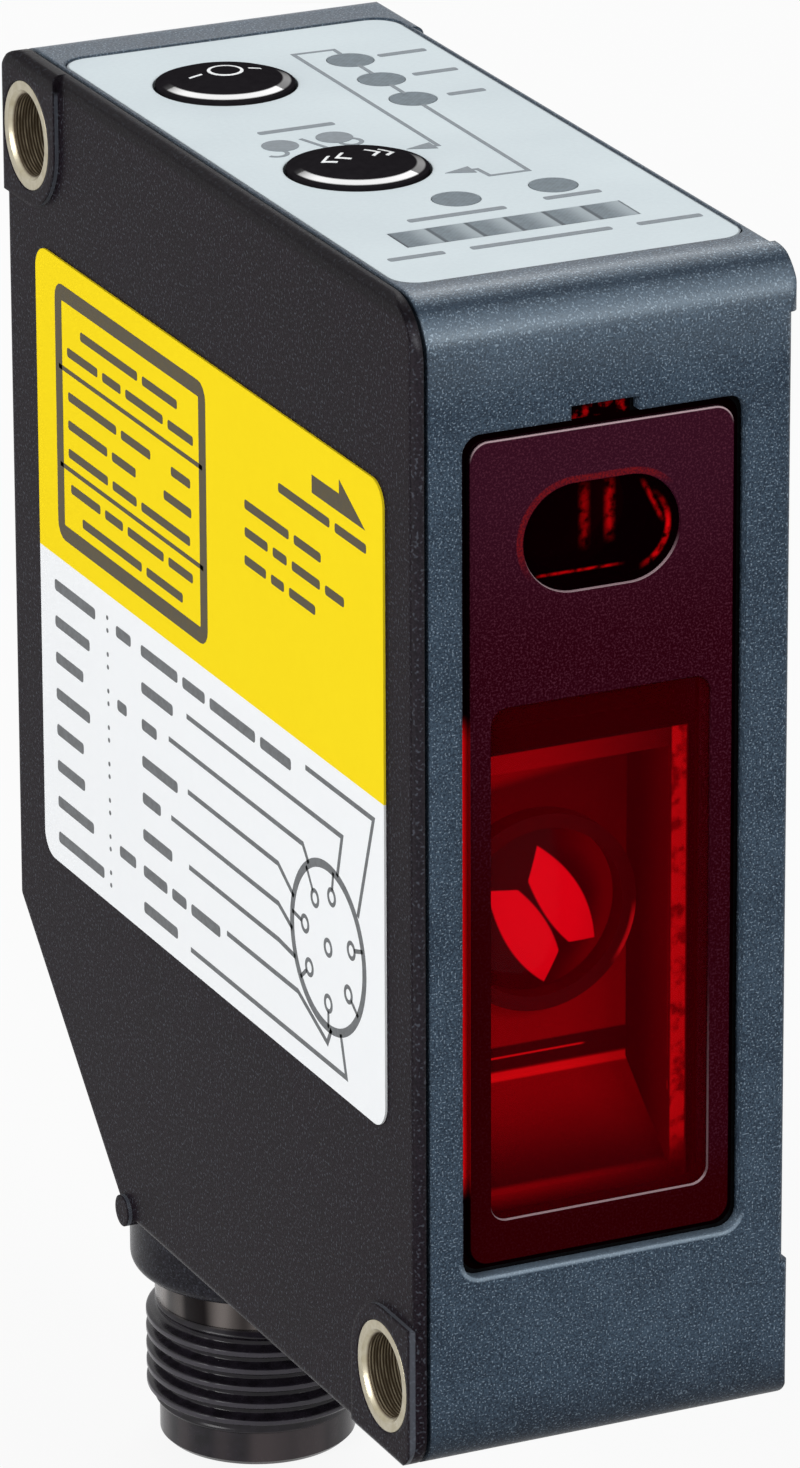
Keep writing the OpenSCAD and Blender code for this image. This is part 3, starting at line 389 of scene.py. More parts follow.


# red filter: matt face, pale lips painted as highlights, a dark flange with stretches painted as red glow,
# painted glints, and panes that let light through
def redFilter(look, whole, across, back, down):
    grain = whole.noise(look["grain"])
    cloud = whole.noise(look["cloud"], 3.0)
    face = outsideBox(across, down, look["face"], look["faceR"])
    pane = outsideBox(across, down, look["pane"], look["paneR"])
    oval = outsideBox(across, down, look["oval"], look["ovalR"])
    inPane = 1 - pane.step(-look["seam"], 0.0)
    inOval = 1 - oval.step(-look["seam"], 0.0)
    ahead = 1 - back.step(*look["behind"])
    # painted reflections: red glints laid on the oval pane
    glints = ovalGlints(glintLook, across, down, oval) * cloud.step(*look["glintContrast"])
    color = inPane.blend(mattFace(mattLook, across, down, oval, grain), look["paneTint"])
    color = inOval.blend(color, glints.blend(look["ovalDark"], look["glow"]))
    # painted highlights: pale lips along the lower edges of the pane and the oval and up the pane's right
    # side
    paneLip = 1 - abs(pane).step(0.0, look["seam"])
    ovalLip = 1 - abs(oval).step(0.0, look["seam"])
    lip = paneLip * down.step(*look["paneFoot"]) + ovalLip * down.step(*look["ovalFoot"])
    side = paneLip * down.step(*look["sideDown"]) * across.step(*look["sideAcross"])
    lip = lip.most(side * look["sideTint"])
    color = (lip * ahead * look["lipTint"]).blend(color, look["polish"])
    # painted red glow on the left strip of the flange and painted glints on the tab
    strip = (1 - across.step(*look["stripAcross"])) * down.within(*look["stripDown"])
    tab = (1 - down.step(*look["tab"])) * cloud.step(*look["tabContrast"]) * look["tabTint"]
    flange = strip.most(tab).blend(look["flange"], look["glow"])
    color = face.step(*look["faceEdge"]).blend(color, flange)
    # painted highlight: a pale line along the top edge of the matt face
    edge = face.within(*look["edge"]) * (1 - back.step(*look["edgeBack"]))
    color = (edge * (1 - down.step(*look["edgeDown"]))).blend(color, look["polish"])
    solid = 1 - inPane.most(inOval)
    cover = solid + (inPane * look["paneCover"] + inOval * look["ovalCover"]) * ahead
    roughness = look["paneRough"] + solid * (look["mattRough"] + grain * look["grainRough"])
    normal = grain.bump(look["depth"], look["rounding"])
    return principled(whole, color, roughness, normal, Alpha=cover, Specular_IOR_Level=0.0)


windowLook = dict(
    face=(3.1, 7.35, 17.3, 50.25), faceR=1.0, faceEdge=(-0.03, 0.02), behind=(0.7, 0.75),
    pane=(4.225, 21.1, 16.175, 48.1), paneR=0.9, paneCover=0.32, paneTint=tone(84, 0, 5),
    oval=(5.95, 10.12, 14.45, 15.68), ovalR=2.77, ovalCover=0.95, ovalDark=tone(6, 0, 1), seam=0.04,
    paneFoot=(47.2, 48.0), ovalFoot=(13.4, 15.2), sideDown=(36.0, 47.0), sideAcross=(14.0, 15.0),
    sideTint=0.3, lipTint=0.75, polish=tone(184, 158, 164), edge=(-0.07, 0.06, 0.03), edgeBack=(0.36, 0.42),
    edgeDown=(7.45, 8.4), flange=tone(8, 0, 1), glow=tone(225, 6, 14), glintContrast=(0.3, 0.65),
    stripAcross=(3.12, 3.16), stripDown=(22.0, 46.0, 0.8), tab=(6.96, 7.0), tabContrast=(0.5, 0.75),
    tabTint=0.5, grain=0.11, cloud=0.5, depth=0.006, rounding=0.08, paneRough=0.08, mattRough=0.36,
    grainRough=0.12)


# pale printed foil with a faint satin tooth
def panelFoil(look, whole, across, back, down):
    tooth = whole.noise(look["tooth"])
    mottle = tooth * look["toothShare"] + whole.noise(look["cloud"]) * look["cloudShare"]
    return surface(look, mottle.step(*look["contrast"]).blend(look["shade"], look["pale"]), tooth)


panelLook = dict(
    pale=tone(207, 218, 222), shade=tone(196, 207, 212), tooth=0.25, toothShare=0.4, cloud=8.0,
    cloudShare=0.6, contrast=(0.2, 0.8), roughness=0.4, vary=0.16, depth=0.003, edge=0.1, gloss=0.06)


# polished black key: dull black body, with a clear coat on the front part of the dome's rim
def keyPlastic(look, whole, across, back, down):
    fadeFront, fadeRear = look["fade"]
    rims = []
    for axis in look["axes"]:
        front = 1 - back.step(axis[1] + fadeFront, axis[1] + fadeRear)
        rims.append(awayFrom(across, back, axis).within(*look["ring"]) * front)
    color = whole.noise(look["cloud"]).blend(look["deep"], look["black"])
    return surface(look, color, whole.noise(look["peel"], 1.0), Coat_Weight=rims[0].most(rims[1]),
                   Coat_Roughness=look["coatRough"], Coat_IOR=look["index"])


keyLook = dict(
    axes=((7.1, 37.7), (7.1, 21.6)), ring=(2.95, 3.35, 0.06), fade=(-1.6, 0.6), index=2.1, coatRough=0.05,
    peel=1.2, cloud=0.4, roughness=0.3, vary=0.1, depth=0.004, gloss=0.0, deep=tone(24, 22, 25),
    black=tone(34, 32, 35))


# cloudy light guide: grey windows with a fine mesh, and the bar cut into segments
def guidePlastic(look, whole, across, back, down):
    mottle = whole.noise(look["mottle"], 3.0)
    low, high = look["bar"]
    along = ((across - low) * (look["segments"] / (high - low))).fraction()
    inBar = 1 - back.step(*look["barRear"])
    rule = inBar * (1 - along.step(*look["ruleStart"]) * (1 - along.step(*look["ruleEnd"])))
    glow = inBar * along.step(*look["glowRange"]) * look["glow"]
    mesh = (across * look["mesh"]).wave() * (back * look["mesh"]).wave() * 0.5 + 0.5
    tint = mottle.step(*look["contrast"]) * look["mottleShare"] + mesh * look["meshShare"]
    color = glow.blend(tint.blend(look["dark"], look["light"]), look["bright"])
    return surface(look, rule.blend(color, look["line"]), mottle)


guideLook = dict(
    bar=(3.9, 16.5), barRear=(11.6, 11.7), segments=6, ruleStart=(0.03, 0.09), ruleEnd=(0.93, 0.98),
    glow=0.7, glowRange=(0.3, 0.95), mesh=22.0, meshShare=0.4, mottle=0.35, mottleShare=0.6,
    contrast=(0.25, 0.75), roughness=0.25, vary=0.2, depth=0.004, gloss=0.06, dark=tone(84, 96, 104),
    light=tone(112, 125, 133), bright=tone(166, 177, 183), line=tone(62, 72, 80))


# circuit board: green mask over a faint glass weave
def boardLaminate(look, whole, across, back, down):
    weave = (back * look["weave"]).wave() * (down * look["weave"]).wave()
    cloud = whole.noise(look["cloud"])
    tint = cloud * look["cloudShare"] + weave * look["weaveShare"] + look["base"]
    roughness = look["roughness"] + cloud * look["vary"]
    return principled(whole, tint.blend(look["dark"], look["light"]), roughness, weave.bump(look["depth"]))


boardLook = dict(
    dark=tone(14, 62, 38), light=tone(32, 98, 62), weave=9.0, weaveShare=0.15, cloud=1.5, cloudShare=0.7,
    base=0.15, roughness=0.35, vary=0.15, depth=0.004)

brushMix = dict(detail=4.0, vary=0.15, depth=0.006, gloss=0.5)


# plated or bare metal with fine brushing
def brushedMetal(look, whole, across, back, down):
    brushed = whole.noise(look["brush"], brushMix["detail"])
    return surface({**brushMix, **look}, brushed.blend(look["dark"], look["light"]), brushed, Metallic=1.0)


screwLook = dict(brush=0.3, dark=tone(150, 152, 156), light=tone(205, 206, 208), roughness=0.25)
brassLook = dict(brush=0.25, dark=tone(150, 138, 104), light=tone(208, 194, 150), roughness=0.22)
goldLook = dict(brush=0.2, dark=tone(196, 150, 62), light=tone(238, 204, 120), roughness=0.2)


# casting behind the tall pane, with its light and shade painted: a back plate that brightens downwards to a
# lit seam, a floor and a right wall that change with depth, front edges with a blotchy lit strip, black above
# the hood's top edge, and a painted red glow
def opticsCasting(look, whole, across, back, down):
    color = down.step(*look["plate"]).blend(look["deep"], look["lit"])
    # painted glow on a wedge of the back plate below the top wall
    under = 1 - (down + across * look["underTilt"]).step(*look["under"])
    under = under * (1 - across.step(*look["underAcross"]) * look["underFade"])
    color = under.blend(color, look["ember"])
    # painted shade in a band above the seam
    color = down.within(*look["ledge"]).blend(color, look["dark"])
    # painted highlight: a thin bright line beside the seam
    scratch = down.within(*look["scratch"]) * (1 - across.step(*look["scratchEnd"]))
    color = down.within(*look["seam"]).most(scratch).blend(color, look["bright"])
    floor = back.step(*look["floorBack"]).blend(look["dark"], look["lit"])
    color = down.step(*look["floorDown"]).blend(color, floor)
    wall = back.step(*look["wallBack"]).blend(look["deep"], look["dark"])
    color = (across.step(*look["wallAcross"]) * back.step(*look["wallFront"])).blend(color, wall)
    front = 1 - back.step(*look["front"])
    head = across.step(*look["headAcross"]).blend(look["ember"], look["deep"])
    color = front.blend(color, down.step(*look["headDown"]).blend(head, look["dark"]))
    strip = across.within(*look["strip"]) * (1 - down.step(*look["stripEnd"]))
    blotch = whole.noise(look["blotch"], 3.0).step(*look["blotchContrast"])
    color = (front * strip).blend(color, blotch.blend(look["lit"], look["bright"]))
    # painted shade: black above the hood's top edge
    color = (1 - down.step(*look["roof"])).blend(color, look["black"])
    # the constant emission is a painted red glow
    return surface(look, color, whole.noise(look["lump"], 4.0), Emission_Color=color,
                   Emission_Strength=look["glow"])


castingLook = dict(
    black=tone(14, 0, 1), dark=tone(50, 0, 3), deep=tone(84, 0, 4), lit=tone(150, 0, 7),
    ember=tone(164, 0, 8), bright=tone(245, 12, 20), glow=0.3, gloss=0.02, lump=0.4, roughness=0.5,
    vary=0.2, depth=0.04, plate=(28.0, 41.0), under=(28.9, 29.7), underTilt=0.125, underAcross=(9.0, 17.5),
    underFade=0.6, ledge=(42.3, 43.6, 0.08), seam=(43.68, 44.12, 0.06), scratch=(42.84, 42.94, 0.04),
    scratchEnd=(12.8, 13.2), floorBack=(3.4, 7.6), floorDown=(44.08, 44.2), wallBack=(3.6, 7.0),
    wallAcross=(15.35, 15.42), wallFront=(3.4, 3.5), front=(3.3, 3.6), headAcross=(6.0, 16.0),
    headDown=(47.5, 49.0), strip=(15.5, 16.3, 0.06), stripEnd=(46.0, 48.2), blotch=0.8,
    blotchContrast=(0.34, 0.56), roof=(24.68, 24.78))
lensAxis = (10.2, 35.0)


# lens: near-black body with a painted reflection, a bow tie of two bright leaves, each between two parabolas
# and two slanting ends; a painted lit stretch on its right side and a painted glow
def lensGlass(look, whole, across, back, down):
    x, y = look["waist"]
    cosine, sine = look["lean"]
    out = (across - x) * sine - (down - y) * cosine
    along = ((across - x) * cosine + (down - y) * sine) * out.math("SIGN", out)
    out = abs(out)
    height, bend, shift = look["outer"]
    length, flare = look["ends"]
    leaf = (out - along * along * look["inner"]).step(*look["innerSoft"])
    leaf = leaf * (height - bend * (along + shift) ** 2.0 - out).step(0.0, look["soft"])
    leaf = leaf * (length + out * flare - abs(along)).step(0.0, look["soft"])
    cloud = whole.noise(look["cloud"], 1.0)
    side = awayFrom(across, down, lensAxis).step(*look["sideAway"]) * across.step(*look["sideAcross"])
    body = side.blend(cloud.blend(look["deep"], look["tint"]), look["side"])
    # painted reflection of the bow tie and painted light on the right side
    color = leaf.blend(body, look["leaf"])
    return principled(whole, color, look["roughness"] + cloud * look["vary"], None, Emission_Color=color,
                      Emission_Strength=look["glow"], Specular_IOR_Level=look["gloss"])


lensLook = dict(
    waist=(10.55, 35.45), lean=(0.536, 0.844), inner=0.055, innerSoft=(0.02, 0.14),
    outer=(2.4, 0.0635, 0.3), ends=(2.0, 0.75), soft=0.12, cloud=3.0, sideAway=(2.6, 4.4),
    sideAcross=(10.5, 14.0), roughness=0.12, vary=0.05, deep=tone(36, 0, 2), tint=tone(52, 0, 3),
    side=tone(112, 0, 5), leaf=tone(250, 4, 24), glow=0.5, gloss=0.04)


# dark ring round the lens with a painted highlight on one stretch of its outer edge, and a constant emission
# as a painted glow
def ringPlastic(look, whole, across, back, down):
    cloud = whole.noise(look["cloud"])
    # painted highlight on a stretch of the outer edge
    arc = awayFrom(across, down, lensAxis).step(*look["arcAway"]) * across.step(*look["arcAcross"])
    arc = arc * down.within(*look["arcDown"])
    color = arc.blend(cloud.blend(look["dark"], look["light"]), look["bright"])
    return surface(look, color, cloud, Emission_Color=color, Emission_Strength=look["glow"])


ringLook = dict(
    dark=tone(58, 0, 3), light=tone(76, 0, 4), bright=tone(235, 20, 28), glow=0.3, gloss=0.04, cloud=0.5,
    roughness=0.4, vary=0.2, depth=0.01, arcAway=(4.9, 5.1), arcAcross=(13.6, 14.6),
    arcDown=(35.6, 38.0, 0.6))

inkMix = dict(cloud=0.3, contrast=(0.25, 0.75), roughness=0.4, vary=0.15, depth=0.002, gloss=0.3)


# printing ink, a little uneven
def printedInk(look, whole, across, back, down):
    cloud = whole.noise(inkMix["cloud"], 3.0)
    return surface(inkMix, cloud.step(*inkMix["contrast"]).blend(look["ink"], look["thin"]), cloud)


blackInk = dict(ink=tone(58, 48, 16), thin=tone(72, 60, 22))
greyInk = dict(ink=tone(84, 86, 88), thin=tone(104, 107, 110))
panelInk = dict(ink=tone(86, 97, 105), thin=tone(104, 115, 123))
beadLightTone = dict(ink=tone(96, 106, 114), thin=tone(126, 136, 143))
whiteInk = dict(ink=tone(216, 218, 220), thin=tone(232, 234, 235))


def dress(material, *nodes):
    for node in nodes:
        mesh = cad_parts[node].data
        mesh.materials.clear()
        mesh.materials.append(material)


# middle of a node's box, as millimetres back from the front face and down from the top face
def boreAxis(node):
    low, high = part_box(node)
    return ((low.y + high.y) / 2 - frontY) / mm, (topZ - (low.z + high.z) / 2) / mm


dress(finish("housingPlastic", grainedPlastic, housingLook, housingPaintedLightAndPolish), "housing")
dress(finish("coverPlastic", grainedPlastic, coverLook, coverPaintedLightAndPolish), "side_cover")
dress(finish("sealRubber", grainedPlastic, rubberLook), "cover_seal", "window_gasket", "swivel_seal")
dress(finish("connectorPlastic", grainedPlastic, elbowLook), "connector_elbow", "contact_insert")
dress(finish("chipPlastic", grainedPlastic, rubberLook), "main_chips", "board_header", "image_sensor")
dress(finish("labelFoil", labelFoil, labelLook), "side_label")
dress(finish("upperBushMetal", turnedMetal, bushLook, boreAxis("upper_bush")), "upper_bush")
dress(finish("lowerBushMetal", turnedMetal, bushLook, boreAxis("lower_bush")), "lower_bush")
dress(finish("windowFilter", redFilter, windowLook), "front_window")
dress(finish("panelFoil", panelFoil, panelLook), "top_panel")
dress(finish("keyPlastic", keyPlastic, keyLook), "set_key", "select_key")
dress(finish("guidePlastic", guidePlastic, guideLook), "light_guide", "indicator_lamps")
dress(finish("boardLaminate", boardLaminate, boardLook), "display_board", "main_board", "sensor_board")
dress(finish("screwSteel", brushedMetal, screwLook), "board_screws", "optics_screws", "key_switches",
      "swivel_clip")
dress(finish("laserBrass", brushedMetal, brassLook), "laser_holder", "laser_diode")
dress(finish("contactGold", brushedMetal, goldLook), "contact_pins")
dress(finish("opticsCasting", opticsCasting, castingLook), "optics_frame")
dress(finish("ringPlastic", ringPlastic, ringLook), "lens_ring")
dress(finish("lensGlass", lensGlass, lensLook), "receiver_lens", "collimator_lens")
print("finishes set on the CAD nodes")


# faces of a grid of points: each spans two rows and two columns, closed round the columns, and either closed
# round the rows too or capped at both ends
def gridSolid(points, ringRows=False):
    rows, columns = points.shape[:2]
    index = np.arange(rows * columns).reshape(rows, columns)
    ahead = np.roll(index, -1, axis=1)
    upper = np.roll(index, -1, axis=0)
    upperAhead = np.roll(ahead, -1, axis=0)
    quads = np.stack([index, ahead, upperAhead, upper], axis=-1)
    if ringRows:
        faces = quads.reshape(-1, 4).tolist()
    else:
        faces = quads[:-1].reshape(-1, 4).tolist()
        faces += [index[0, ::-1].tolist(), index[-1].tolist()]
    return points.reshape(-1, 3), faces


# joins shapes into one mesh object with outward faces
def addPiece(name, shapes, material, body, smoothAngle=None):
    counts = np.cumsum([0] + [len(points) for points, faces in shapes])
    points = np.concatenate([points for points, faces in shapes])
    faces = [[corner + start for corner in face] for start, (_, some) in zip(counts, shapes) for face in some]
    mesh = bpy.data.meshes.new(name)
    mesh.from_pydata(points.tolist(), [], faces)
    work = bmesh.new()
    work.from_mesh(mesh)
    bmesh.ops.recalc_face_normals(work, faces=work.faces)
    work.to_mesh(mesh)
    work.free()
    if smoothAngle is not None:
        mesh.shade_smooth()
        mesh.set_sharp_from_angle(angle=math.radians(smoothAngle))
    mesh.materials.append(material)
    piece = bpy.data.objects.new(name, mesh)
    bpy.context.scene.collection.objects.link(piece)
    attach(piece, body)
    return piece


shellSizes = dict(
    neckR=5.5, rootR=5.42, tipR=5.3, socketR=4.4, neck=6.2, pitch=1.0, tip=2.0, lead=0.25, fade=0.7,
    flat=0.08, neckGap=0.15, tipGap=0.1, angles=112, rowsPerPitch=22, smooth=38)


# connector shell: radius as a function of angle and height; on the thread it is the root plus a smoothed
# cosine ridge whose crest climbs one pitch a turn and fades at both ends
def connectorShell(sizes):
    low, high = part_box("connector_shell")
    middle = (low + high) / 2
    crestR = (high.x - low.x) / 2 / mm
    top, bottom = high.z / mm, low.z / mm
    threadTop, threadLow = top - sizes["neck"], bottom + sizes["tip"]
    turns = (threadTop - threadLow) / sizes["pitch"]
    angle = np.linspace(0, 2 * np.pi, sizes["angles"], endpoint=False)
    height = np.linspace(threadTop, threadLow, int(turns * sizes["rowsPerPitch"]) + 1)
    climb = (threadTop - height[:, None]) / sizes["pitch"] - angle[None] / (2 * np.pi)
    wave = 0.5 - 0.5 * np.cos(2 * np.pi * climb)
    ridge = np.clip((wave - sizes["flat"]) / (1 - 2 * sizes["flat"]), 0, 1)
    ridge = ridge * ridge * (3 - 2 * ridge)
    fade = np.clip((threadTop - height) / sizes["fade"], 0, 1)
    fade = fade * np.clip((height - threadLow) / sizes["fade"], 0, 1)
    thread = sizes["rootR"] + (crestR - sizes["rootR"]) * ridge * fade[:, None]
    before = [(sizes["socketR"], top), (sizes["neckR"], top), (sizes["neckR"], threadTop + sizes["neckGap"])]
    after = [(sizes["tipR"], threadLow - sizes["tipGap"]), (sizes["tipR"], bottom + sizes["lead"]),
             (sizes["tipR"] - sizes["lead"], bottom), (sizes["socketR"], bottom)]
    ring = np.ones_like(angle)
    radius = np.concatenate([[r * ring for r, z in before], thread, [r * ring for r, z in after]])
    level = np.concatenate([[z for r, z in before], height, [z for r, z in after]])[:, None] * ring
    points = np.stack([radius * np.cos(angle), radius * np.sin(angle), level], axis=-1) * mm
    points[..., 1] += middle.y
    return gridSolid(points, ringRows=True)


# blackened shell: dark metal with painted reflection streaks on the neck, painted highlights on the thread's
# crests, and painted sheen streaks on the tip
def shellFinish(look, whole, across, back, down):
    cloud = whole.noise(look["cloud"], 3.0)
    # painted reflection streaks along the shell, used on the neck and the tip
    drawn = whole.stretch(*look["drawnStretch"]).noise(look["drawn"], 1.0).step(*look["drawnContrast"])
    neck = 1 - down.step(*look["neckEnd"])
    tip = down.step(*look["tipStart"])
    # painted highlight on the thread's crests
    crest = awayFrom(across, back, look["axis"]).step(*look["crestAway"]) * look["crestTint"]
    coat = crest.blend(cloud.step(*look["contrast"]).blend(look["dark"], look["light"]), look["crest"])
    coat = (tip * drawn).blend(coat, look["sheen"])
    color = neck.blend(coat, drawn.blend(look["brown"], look["silver"]))
    return surface(look, color, cloud, Metallic=neck)


shellLook = dict(
    axis=(10.2, 42.2), neckEnd=(69.4, 69.6), tipStart=(75.4, 75.6), contrast=(0.3, 0.7),
    crestAway=(5.95, 6.0), crestTint=0.25, drawn=2.2, drawnStretch=(1.0, 1.0, 0.06),
    drawnContrast=(0.36, 0.66), cloud=0.7, roughness=0.2, vary=0.12, depth=0.006, gloss=0.26,
    dark=tone(20, 17, 22), light=tone(31, 27, 34), crest=tone(110, 106, 116), sheen=tone(66, 58, 60),
    brown=tone(24, 20, 21), silver=tone(122, 115, 112))
shell = addPiece("threaded_shell", [connectorShell(shellSizes)], finish("shellMetal", shellFinish, shellLook),
                 "connector", shellSizes["smooth"])
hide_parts("connector_shell")
print("threaded shell made")

inkLift, plateLift = (-0.02, 0.012), (-0.02, 0.018)
cornerPoints = 5


# flat stroke: the path moved half a width to each side along its mitred normals, as a thin box
def stroke(path, width, lift, closed=False):
    path = np.asarray(path, float)
    ahead = np.roll(path, -1, axis=0) - path
    behind = np.roll(ahead, 1, axis=0)
    if not closed:
        ahead[-1], behind[0] = behind[-1], ahead[0]
    normals = [np.stack([-way[:, 1], way[:, 0]], axis=1) / np.linalg.norm(way, axis=1)[:, None]
               for way in (ahead, behind)]
    mitre = sum(normals) / (1 + (normals[0] * normals[1]).sum(axis=1))[:, None] * width / 2
    low, high = lift
    sides = [(path + mitre, low), (path + mitre, high), (path - mitre, high), (path - mitre, low)]
    grid = np.stack([np.column_stack([side, np.full(len(path), level)]) for side, level in sides], axis=1)
    return grid, closed


# flat plate: an outline at two levels
def plate(outline, lift):
    outline = np.asarray(outline, float)
    return np.stack([np.column_stack([outline, np.full(len(outline), level)]) for level in lift]), False


# points round a centre: the radius times the cosine and the sine of each angle
def around(centre, radius, angles):
    return np.column_stack([centre[0] + radius * np.cos(angles), centre[1] + radius * np.sin(angles)])


# whole circle as even steps of the angle
def circlePath(centre, radius, count=48):
    return around(centre, radius, np.linspace(0, 2 * np.pi, count, endpoint=False))


# part of a circle between two angles in degrees
def arcPath(centre, radius, start, end, count=24):
    return around(centre, radius, np.radians(np.linspace(start, end, count)))


# outline of a box with round corners, each a quarter circle of points
def roundedBox(left, high, right, low, radius):
    turn = np.linspace(0, np.pi / 2, cornerPoints)
    corners = [(right, low, 0), (left, low, 1), (left, high, 2), (right, high, 3)]
    arcs = []
    for x, y, quarter in corners:
        centre = (x + (radius if x == left else -radius), y + (radius if y == high else -radius))
        arcs.append(around(centre, radius, turn + quarter * np.pi / 2))
    return np.concatenate(arcs)


# side print lies on the label: first number back from the front face, second down from the top face
def onLabel(shape):
    grid, closed = shape
    points = np.stack([labelLow.x - grid[..., 2] * mm, frontY + grid[..., 0] * mm,
                       topZ - grid[..., 1] * mm], axis=-1)
    return gridSolid(points, closed)


# top print lies on the panel: first number across from the left face, second back from the front face
def onPanel(shape):
    grid, closed = shape
    points = np.stack([leftX + grid[..., 0] * mm, frontY + grid[..., 1] * mm,
                       panelHigh.z + grid[..., 2] * mm], axis=-1)
    return gridSolid(points, closed)


barSizes = dict(gap=0.62, corner=0.3, shares=[5.0, 3.0, 6.0, 4.0, 2.0])


# row of plain bars that stands for a line of print: the length less the gaps, shared out from start to end
def barRow(start, end, level, height, count):
    share = np.resize(barSizes["shares"], count)
    widths = share / share.sum() * (abs(start - end) - barSizes["gap"] * (count - 1))
    ends = np.cumsum(widths + barSizes["gap"]) - barSizes["gap"]
    high, low = level - height / 2, level + height / 2
    corner = height * barSizes["corner"]
    return [plate(roundedBox(start - far, high, start - far + width, low, corner), inkLift)
            for far, width in zip(ends, widths)]


yellowPrint = dict(
    frame=(24.75, 11.55, 43.0, 24.7), border=0.86, corner=0.5, rules=(15.65, 21.0), rule=0.26, bar=0.5,
    frameRows=[(40.15, 27.85, 13.25, 2), (41.9, 25.9, 14.6, 4), (41.85, 31.3, 17.0, 2),
    (28.7, 26.3, 17.0, 1), (41.9, 33.2, 18.55, 2), (29.65, 26.2, 18.55, 1), (41.9, 26.4, 20.1, 3),
    (41.65, 26.1, 22.0, 4), (40.2, 27.4, 23.45, 2)], freeRows=[(15.5, 5.2, 13.75, 2), (19.6, 10.5, 15.9, 2),
    (19.6, 7.8, 17.35, 4), (19.65, 11.2, 18.85, 3)], arrow=[(11.5, 11.86), (8.3, 11.86), (8.3, 11.12),
    (5.3, 12.8), (11.5, 12.8)])


# yellow field: a ruled frame, an arrow, and rows of bars inside the frame and beside it
def yellowShapes(layout):
    left, high, right, low = layout["frame"]
    shapes = [stroke(roundedBox(left, high, right, low, layout["corner"]), layout["border"], inkLift, True)]
    shapes += [stroke([(left, level), (right, level)], layout["rule"], inkLift) for level in layout["rules"]]
    shapes.append(plate(layout["arrow"], inkLift))
    for start, end, level, count in layout["frameRows"] + layout["freeRows"]:
        shapes += barRow(start, end, level, layout["bar"], count)
    return [onLabel(shape) for shape in shapes]


whitePrint = dict(
    firstRow=28.0, pitch=2.02, bar=0.62, colons=37.17, dot=0.26, dotShift=0.35,
    names=(44.05, (5.3, 4.5, 3.6, 4.4, 3.5, 3.6, 4.7, 6.0)),
    codes={0: (36.05, 1.9), 2: (36.0, 1.2), 6: (35.95, 2.1)},
    uses=(32.85, ((18.6, 4), (4.0, 1), (1.9, 1), (4.5, 1), (2.3, 1), (3.7, 1), (9.7, 3), (4.3, 1))),
    line=0.28, pinLine=0.8, disc=(9.95, 36.2), discR=4.3, rim=0.46, pinR=0.4, dotPoints=12, discPoints=72,
    pinPoints=24, pins=[(11.49, 34.1), (9.49, 33.35), (7.2, 35.37), (7.57, 37.83), (9.96, 39.19),
    (12.21, 38.06), (12.7, 35.89)], leaders=[[(12.5, 27.5), (4.5, 27.5), (6.4, 33.3)],
    [(27.1, 29.7), (8.2, 29.7), (8.8, 32.0)], [(29.4, 31.7), (12.9, 31.7), (12.2, 32.5)],
    [(27.05, 33.8), (15.9, 33.8), (14.0, 34.9)], [(29.2, 35.95), (15.9, 35.95), (14.2, 36.7)],
    [(27.0, 37.9), (15.9, 37.9), (13.85, 38.1)], [(22.3, 39.85), (13.6, 39.85), (10.1, 41.35),
    (9.6, 40.45)], [(26.9, 42.4), (7.85, 42.4), (8.5, 40.3)]])


# white field: rows of bars with pairs of dots, and leaders to a ring with pins joined to its rim by spokes
def whiteShapes(layout):
    start, widths = layout["names"]
    useStart, uses = layout["uses"]
    shapes = []
    for row, (width, (useWidth, count)) in enumerate(zip(widths, uses)):
        level = layout["firstRow"] + row * layout["pitch"]
        shapes += barRow(start, start - width, level, layout["bar"], 1)
        shapes += barRow(useStart, useStart - useWidth, level, layout["bar"], count)
        for shift in (-layout["dotShift"], layout["dotShift"]):
            dot = circlePath((layout["colons"], level + shift), layout["dot"] / 2, layout["dotPoints"])
            shapes.append(plate(dot, inkLift))
        if row in layout["codes"]:
            codeStart, codeWidth = layout["codes"][row]
            shapes += barRow(codeStart, codeStart - codeWidth, level, layout["bar"], 1)
    shapes += [stroke(path, layout["line"], inkLift) for path in layout["leaders"]]
    disc = circlePath(layout["disc"], layout["discR"], layout["discPoints"])
    shapes.append(stroke(disc, layout["rim"], inkLift, True))
    centre = np.array(layout["disc"])
    pins = np.array(layout["pins"])
    pinLine = layout["line"] * layout["pinLine"]
    for pin in [centre, *pins]:
        shapes.append(stroke(circlePath(pin, layout["pinR"], layout["pinPoints"]), pinLine, inkLift, True))
    for pin in pins:
        away = (pin - centre) / np.linalg.norm(pin - centre)
        spoke = [pin + away * layout["pinR"], centre + away * layout["discR"]]
        shapes.append(stroke(spoke, pinLine, inkLift))
    return [onLabel(shape) for shape in shapes]


addPiece("label_yellow_print", yellowShapes(yellowPrint), finish("blackInk", printedInk, blackInk),
         "sensor_body")
addPiece("label_white_print", whiteShapes(whitePrint), finish("greyInk", printedInk, greyInk),
         "sensor_body")

